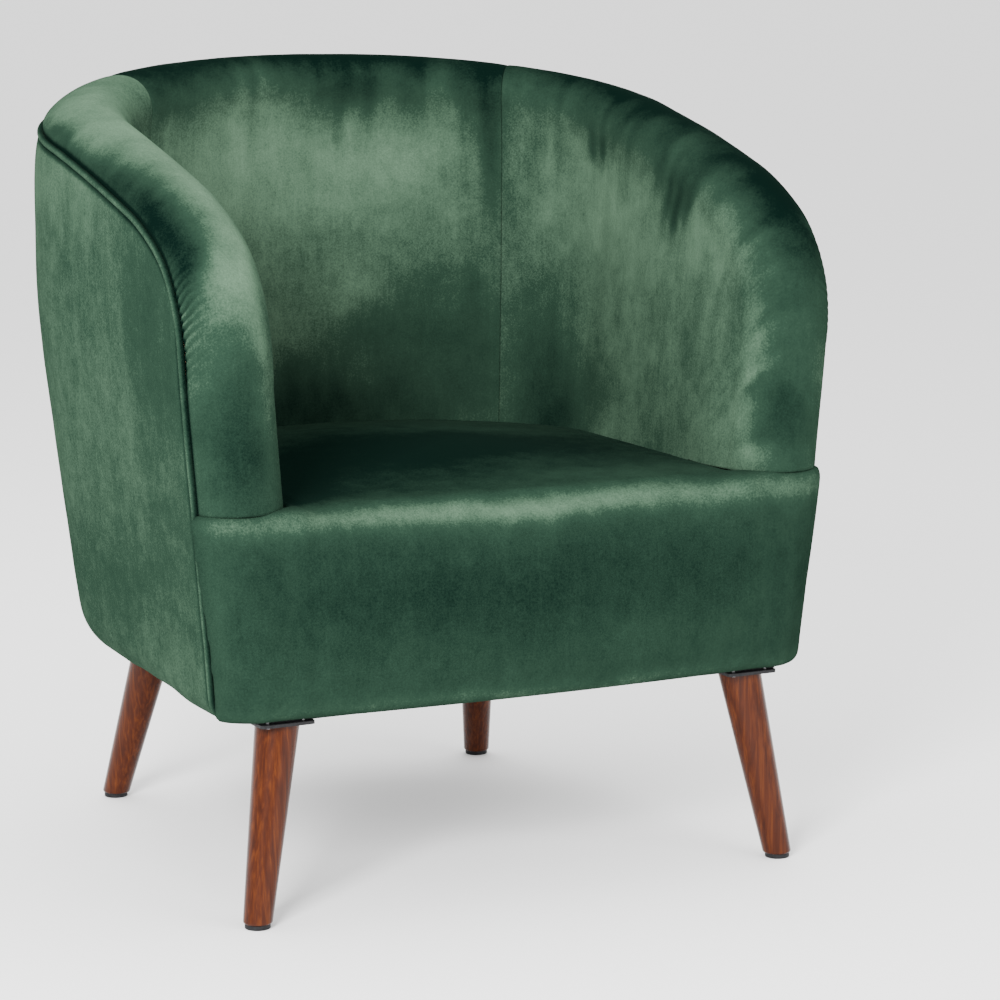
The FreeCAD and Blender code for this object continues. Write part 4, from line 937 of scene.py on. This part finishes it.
def seat_profile(share, drop, turned=0.0):
    """One sagittal section of the seat, from the underside over the front to the back."""
    side = abs(share)
    edge = SEAT_FRONT + SEAT_BOW * side ** 2 + drop + FACE_BELLY
    middle = math.cos(math.pi / 2 * min(side / 0.74, 1)) ** 2
    crown, rise = CROWN * middle, RISE * middle
    past = max(BROW_R - (SEAT_LAST - side) * seat_half_width(ARM_FOOT), 0)
    brow = BROW_R - math.sqrt(max(BROW_R ** 2 - past ** 2, 0))
    top = ARM_FOOT - 0.3 + 2.2 * float(ease(0.6, 0.7, side)) - brow
    roll = 14 + 22 * (1 - float(ease(0.5, 0.8, side)))
    low_roll = 22 - 8 * float(ease(0.78, 0.95, side))
    run = SEAT_TOP_END - edge - roll
    slope = math.atan((math.pi * crown + rise) / run)
    points = []
    # Low roll, front face, upper roll, then the crowned top and the back
    for turn in np.linspace(0, math.pi / 2, 7):
        points.append((edge + low_roll * (1 - math.sin(turn)),
                       BASE + low_roll * (1 - math.cos(turn))))
    low_z, high_z = points[-1][1], top - roll
    for part in np.linspace(0, 1, 24)[1:-1]:
        points.append((edge - FACE_BELLY * math.sin(math.pi * part),
                       low_z + (high_z - low_z) * part))
    for turn in np.linspace(0, math.pi / 2 - slope, 11):
        points.append((edge + roll * (1 - math.cos(turn)), top - roll * (1 - math.sin(turn))))
    start_y, start_z = points[-1]
    for part in np.linspace(0, 1, 60)[1:]:
        lift = crown * math.sin(math.pi * part) + (top + rise - start_z) * part
        points.append((start_y + (SEAT_TOP_END - start_y) * part, start_z + lift))
    points += [(SEAT_END, points[-1][1]), (SEAT_END, BASE)]
    return [(seat_side(share, z, turned), y, z) for y, z in points]


def seat_block():
    shares = [(share, 0.0, 0.0) for share in np.linspace(0, CORNER_SHARE, 60)]
    for part in np.linspace(0, 1, 18)[1:]:
        turn = SEAT_CORNER_TURN * part
        shares.append((CORNER_SHARE + SEAT_CORNER_R * math.sin(turn) / SEAT_WIDE_HALF,
                       SEAT_CORNER_R * (1 - math.cos(turn)), part))
    right = [seat_profile(*place) for place in shares]
    left = [seat_profile(-share, drop, part) for share, drop, part in reversed(shares[1:])]
    rings = np.array(left + right)
    rows, columns = rings.shape[:2]
    faces = ring_faces(rows, columns)
    faces.append(list(range(columns)))
    faces.append([(rows - 1) * columns + j for j in range(columns)][::-1])
    return rings.reshape(-1, 3), faces


FAR_X = 420
FAR_Y = 380


def inner_ring(stations, z):
    """The tub's inner face at a height, with a little room for the seat."""
    return wall(stations, np.full(len(stations), z), np.full(len(stations), WALL + FIT))


def well_prism():
    """The space the seat may fill: the inside of the tub and everything in front of it."""
    far = CORNER_END + (ARM_START_Y - CHEEK_Y) / math.sin(FULL_TURN)
    stations = np.concatenate([np.linspace(-far, 0, 90, endpoint=False), np.linspace(0, far, 91)])
    rings = []
    for z in (BASE - 20, ARM_FOOT + 80):
        corners = np.array([[FAR_X, CHEEK_Y, z], [FAR_X, -FAR_Y, z],
                            [-FAR_X, -FAR_Y, z], [-FAR_X, CHEEK_Y, z]])
        rings.append(np.concatenate([inner_ring(stations, z), corners]))
    count = len(rings[0])
    faces = [[k, (k + 1) % count, (k + 1) % count + count, k + count] for k in range(count)]
    faces.append(list(range(count))[::-1])
    faces.append([count + k for k in range(count)])
    return np.concatenate(rings), faces


def box_mesh(low, high):
    corners = list(itertools.product(*zip(low, high)))
    faces = [[0, 1, 3, 2], [4, 6, 7, 5], [0, 4, 5, 1], [2, 3, 7, 6], [0, 2, 6, 4], [1, 5, 7, 3]]
    return np.array(corners, float), faces


def combine(obj, points, faces, operation):
    """Cuts the object by a closed mesh, which is then removed."""
    other = make_object("temporary", points, faces)
    modifier = obj.modifiers.new("cut", "BOOLEAN")
    modifier.operation = operation
    modifier.object = other
    modifier.solver = "EXACT"
    apply_all(obj)
    bpy.data.objects.remove(other)


def apply_all(obj):
    depsgraph = bpy.context.evaluated_depsgraph_get()
    mesh = bpy.data.meshes.new_from_object(obj.evaluated_get(depsgraph))
    obj.modifiers.clear()
    old = obj.data
    obj.data = mesh
    bpy.data.meshes.remove(old)


def move_points(obj, points):
    obj.data.vertices.foreach_set("co", (points * MM).reshape(-1))
    obj.data.update()


SHRINK = 2.2                      # the form starts this much smaller
LONGEST_MOVE = 4.6
PROUD = 1.6                       # and ends at most this much larger
CLOTH_FRAMES = 20


def swell(obj, held):
    """Blows a padded form up from a slightly smaller one, as fabric over foam."""
    start = points_of(obj)
    out = read_points(obj.data, "normal")
    small = start - out * (SHRINK * (1 - held))[:, None]
    work = obj.copy()
    work.data = obj.data.copy()
    bpy.context.scene.collection.objects.link(work)
    move_points(work, small)
    group = work.vertex_groups.new(name="held")
    for index in np.nonzero(held > 0.01)[0]:
        group.add([int(index)], float(held[index]), "REPLACE")
    cloth = work.modifiers.new("cloth", "CLOTH")
    fabric = cloth.settings
    fabric.vertex_group_mass = "held"
    fabric.quality = 4
    fabric.mass = 0.3
    fabric.tension_stiffness = 12
    fabric.compression_stiffness = 12
    fabric.shear_stiffness = 6
    fabric.bending_stiffness = 0.4
    fabric.use_pressure = True
    fabric.uniform_pressure_force = 4
    fabric.effector_weights.gravity = 0
    cloth.collision_settings.use_collision = False
    for number in range(1, CLOTH_FRAMES + 1):
        bpy.context.scene.frame_set(number)
    mesh = work.evaluated_get(bpy.context.evaluated_depsgraph_get()).to_mesh()
    move = read_points(mesh) / MM - small
    bpy.context.scene.frame_set(1)
    bpy.data.objects.remove(work)
    length = np.linalg.norm(move, axis=1)
    move *= np.minimum(1, LONGEST_MOVE / np.maximum(length, 1e-6))[:, None]
    final = small + move
    past = np.maximum(((final - start) * out).sum(1) - PROUD, 0)
    move_points(obj, final - out * past[:, None])


def held_share(points):
    """How far each point is held: near the well, at the base, by the piping, under the arms."""
    x, y, z = np.abs(points[:, 0]), points[:, 1], points[:, 2]
    ring = inner_ring(np.linspace(-ARM_END, ARM_END, 240), ARM_FOOT)
    gap = np.min([np.hypot(points[:, 0] - at[0], y - at[1]) for at in ring], 0)
    well = 1 - ease(5, 18, gap)
    low = 1 - ease(BASE + 2, BASE + 14, z)
    side = ease(300, 318, x) * ease(-292, -280, y)
    under_arm = ease(236, 250, x) * ease(-300, -290, y) * ease(375, 388, z)
    return np.clip(well + low + side + under_arm, 0, 1)


VOXEL = 3.8
BEHIND_CHEEK = ((-FAR_X, CHEEK_Y, BASE - 40), (FAR_X, 340, 288.1))
FRAME_SPACE = ((-300.5, -283.4, BASE + 2.0), (300.5, 300, 288.2))


def make_seat():
    obj = make_object("seat", *seat_block())
    combine(obj, *well_prism(), "INTERSECT")
    remesh = obj.modifiers.new("remesh", "REMESH")
    remesh.mode = "VOXEL"
    remesh.voxel_size = VOXEL * MM
    smooth = obj.modifiers.new("smooth", "SMOOTH")
    smooth.factor = 0.5
    smooth.iterations = 12
    apply_all(obj)
    swell(obj, held_share(points_of(obj)))
    # Room for the ring, the rails and what lies between them
    for space in (BEHIND_CHEEK, FRAME_SPACE):
        combine(obj, *box_mesh(*space), "DIFFERENCE")
    shade_smooth(obj.data)
    # Painted highlight along the front roll, painted shade on the top toward the back and in the
    # pocket by the left arm.
    set_nap_and_painted_light(obj, nap_and_painted_light(points_of(obj), PAINTED_LIGHT_SEAT, base=0.355, warp=8, uneven=0.6))
    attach(obj, "root")
    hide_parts("seat_cover", "seat_foam")


make_seat()


# Floor, light and camera

FLOOR_HALF = 60.0                 # metres
FLOOR_Z = -0.0002


def make_floor():
    corners = [(-1, -1), (1, -1), (1, 1), (-1, 1)]
    material = principled("floor", Roughness=0.75, Base_Color=(0.93, 0.93, 0.93, 1))[0]
    mesh = bpy.data.meshes.new("floor")
    mesh.from_pydata([(x * FLOOR_HALF, y * FLOOR_HALF, FLOOR_Z) for x, y in corners], [],
                     [[0, 1, 2, 3]])
    mesh.materials.append(material)
    floor = bpy.data.objects.new("floor", mesh)
    bpy.context.scene.collection.objects.link(floor)


def area_light(name, place, target, size, power):
    light = bpy.data.lights.new(name, "AREA")
    light.shape = "RECTANGLE"
    light.size, light.size_y = size
    light.energy = power
    obj = bpy.data.objects.new(name, light)
    obj.location = place
    obj.rotation_euler = (Vector(target) - Vector(place)).to_track_quat("-Z", "Y").to_euler()
    bpy.context.scene.collection.objects.link(obj)


def make_stage():
    make_floor()
    world = bpy.data.worlds.new("studio")
    world.use_nodes = True
    background = world.node_tree.nodes["Background"]
    background.inputs["Color"].default_value = (1, 1, 1, 1)
    background.inputs["Strength"].default_value = 1.8
    bpy.context.scene.world = world
    area_light("key", (-2.4, -2.6, 1.9), (0, 0, 0.5), (1.2, 1.2), 350)
    area_light("front_fill", (1.6, -3.4, 1.3), (0, 0, 0.45), (2.2, 1.6), 80)
    area_light("top", (0.2, 0.6, 3.0), (0, 0, 0.4), (2.4, 2.4), 60)


CAMERA_TARGET = Vector((0.1089, -0.0171, 0.3402))
CAMERA_AZIMUTH = math.radians(-27.13)
CAMERA_ELEVATION = math.radians(9.41)
CAMERA_DISTANCE = 3.8186


def make_camera():
    camera = bpy.data.cameras.new("camera")
    camera.lens = 131.7
    camera.sensor_width = 36
    obj = bpy.data.objects.new("camera", camera)
    level = math.cos(CAMERA_ELEVATION)
    back = Vector((math.sin(CAMERA_AZIMUTH) * level, -math.cos(CAMERA_AZIMUTH) * level,
                   math.sin(CAMERA_ELEVATION)))
    obj.location = CAMERA_TARGET + back * CAMERA_DISTANCE
    obj.rotation_euler = back.to_track_quat("Z", "Y").to_euler()
    bpy.context.scene.collection.objects.link(obj)
    bpy.context.scene.camera = obj


make_stage()
make_camera()
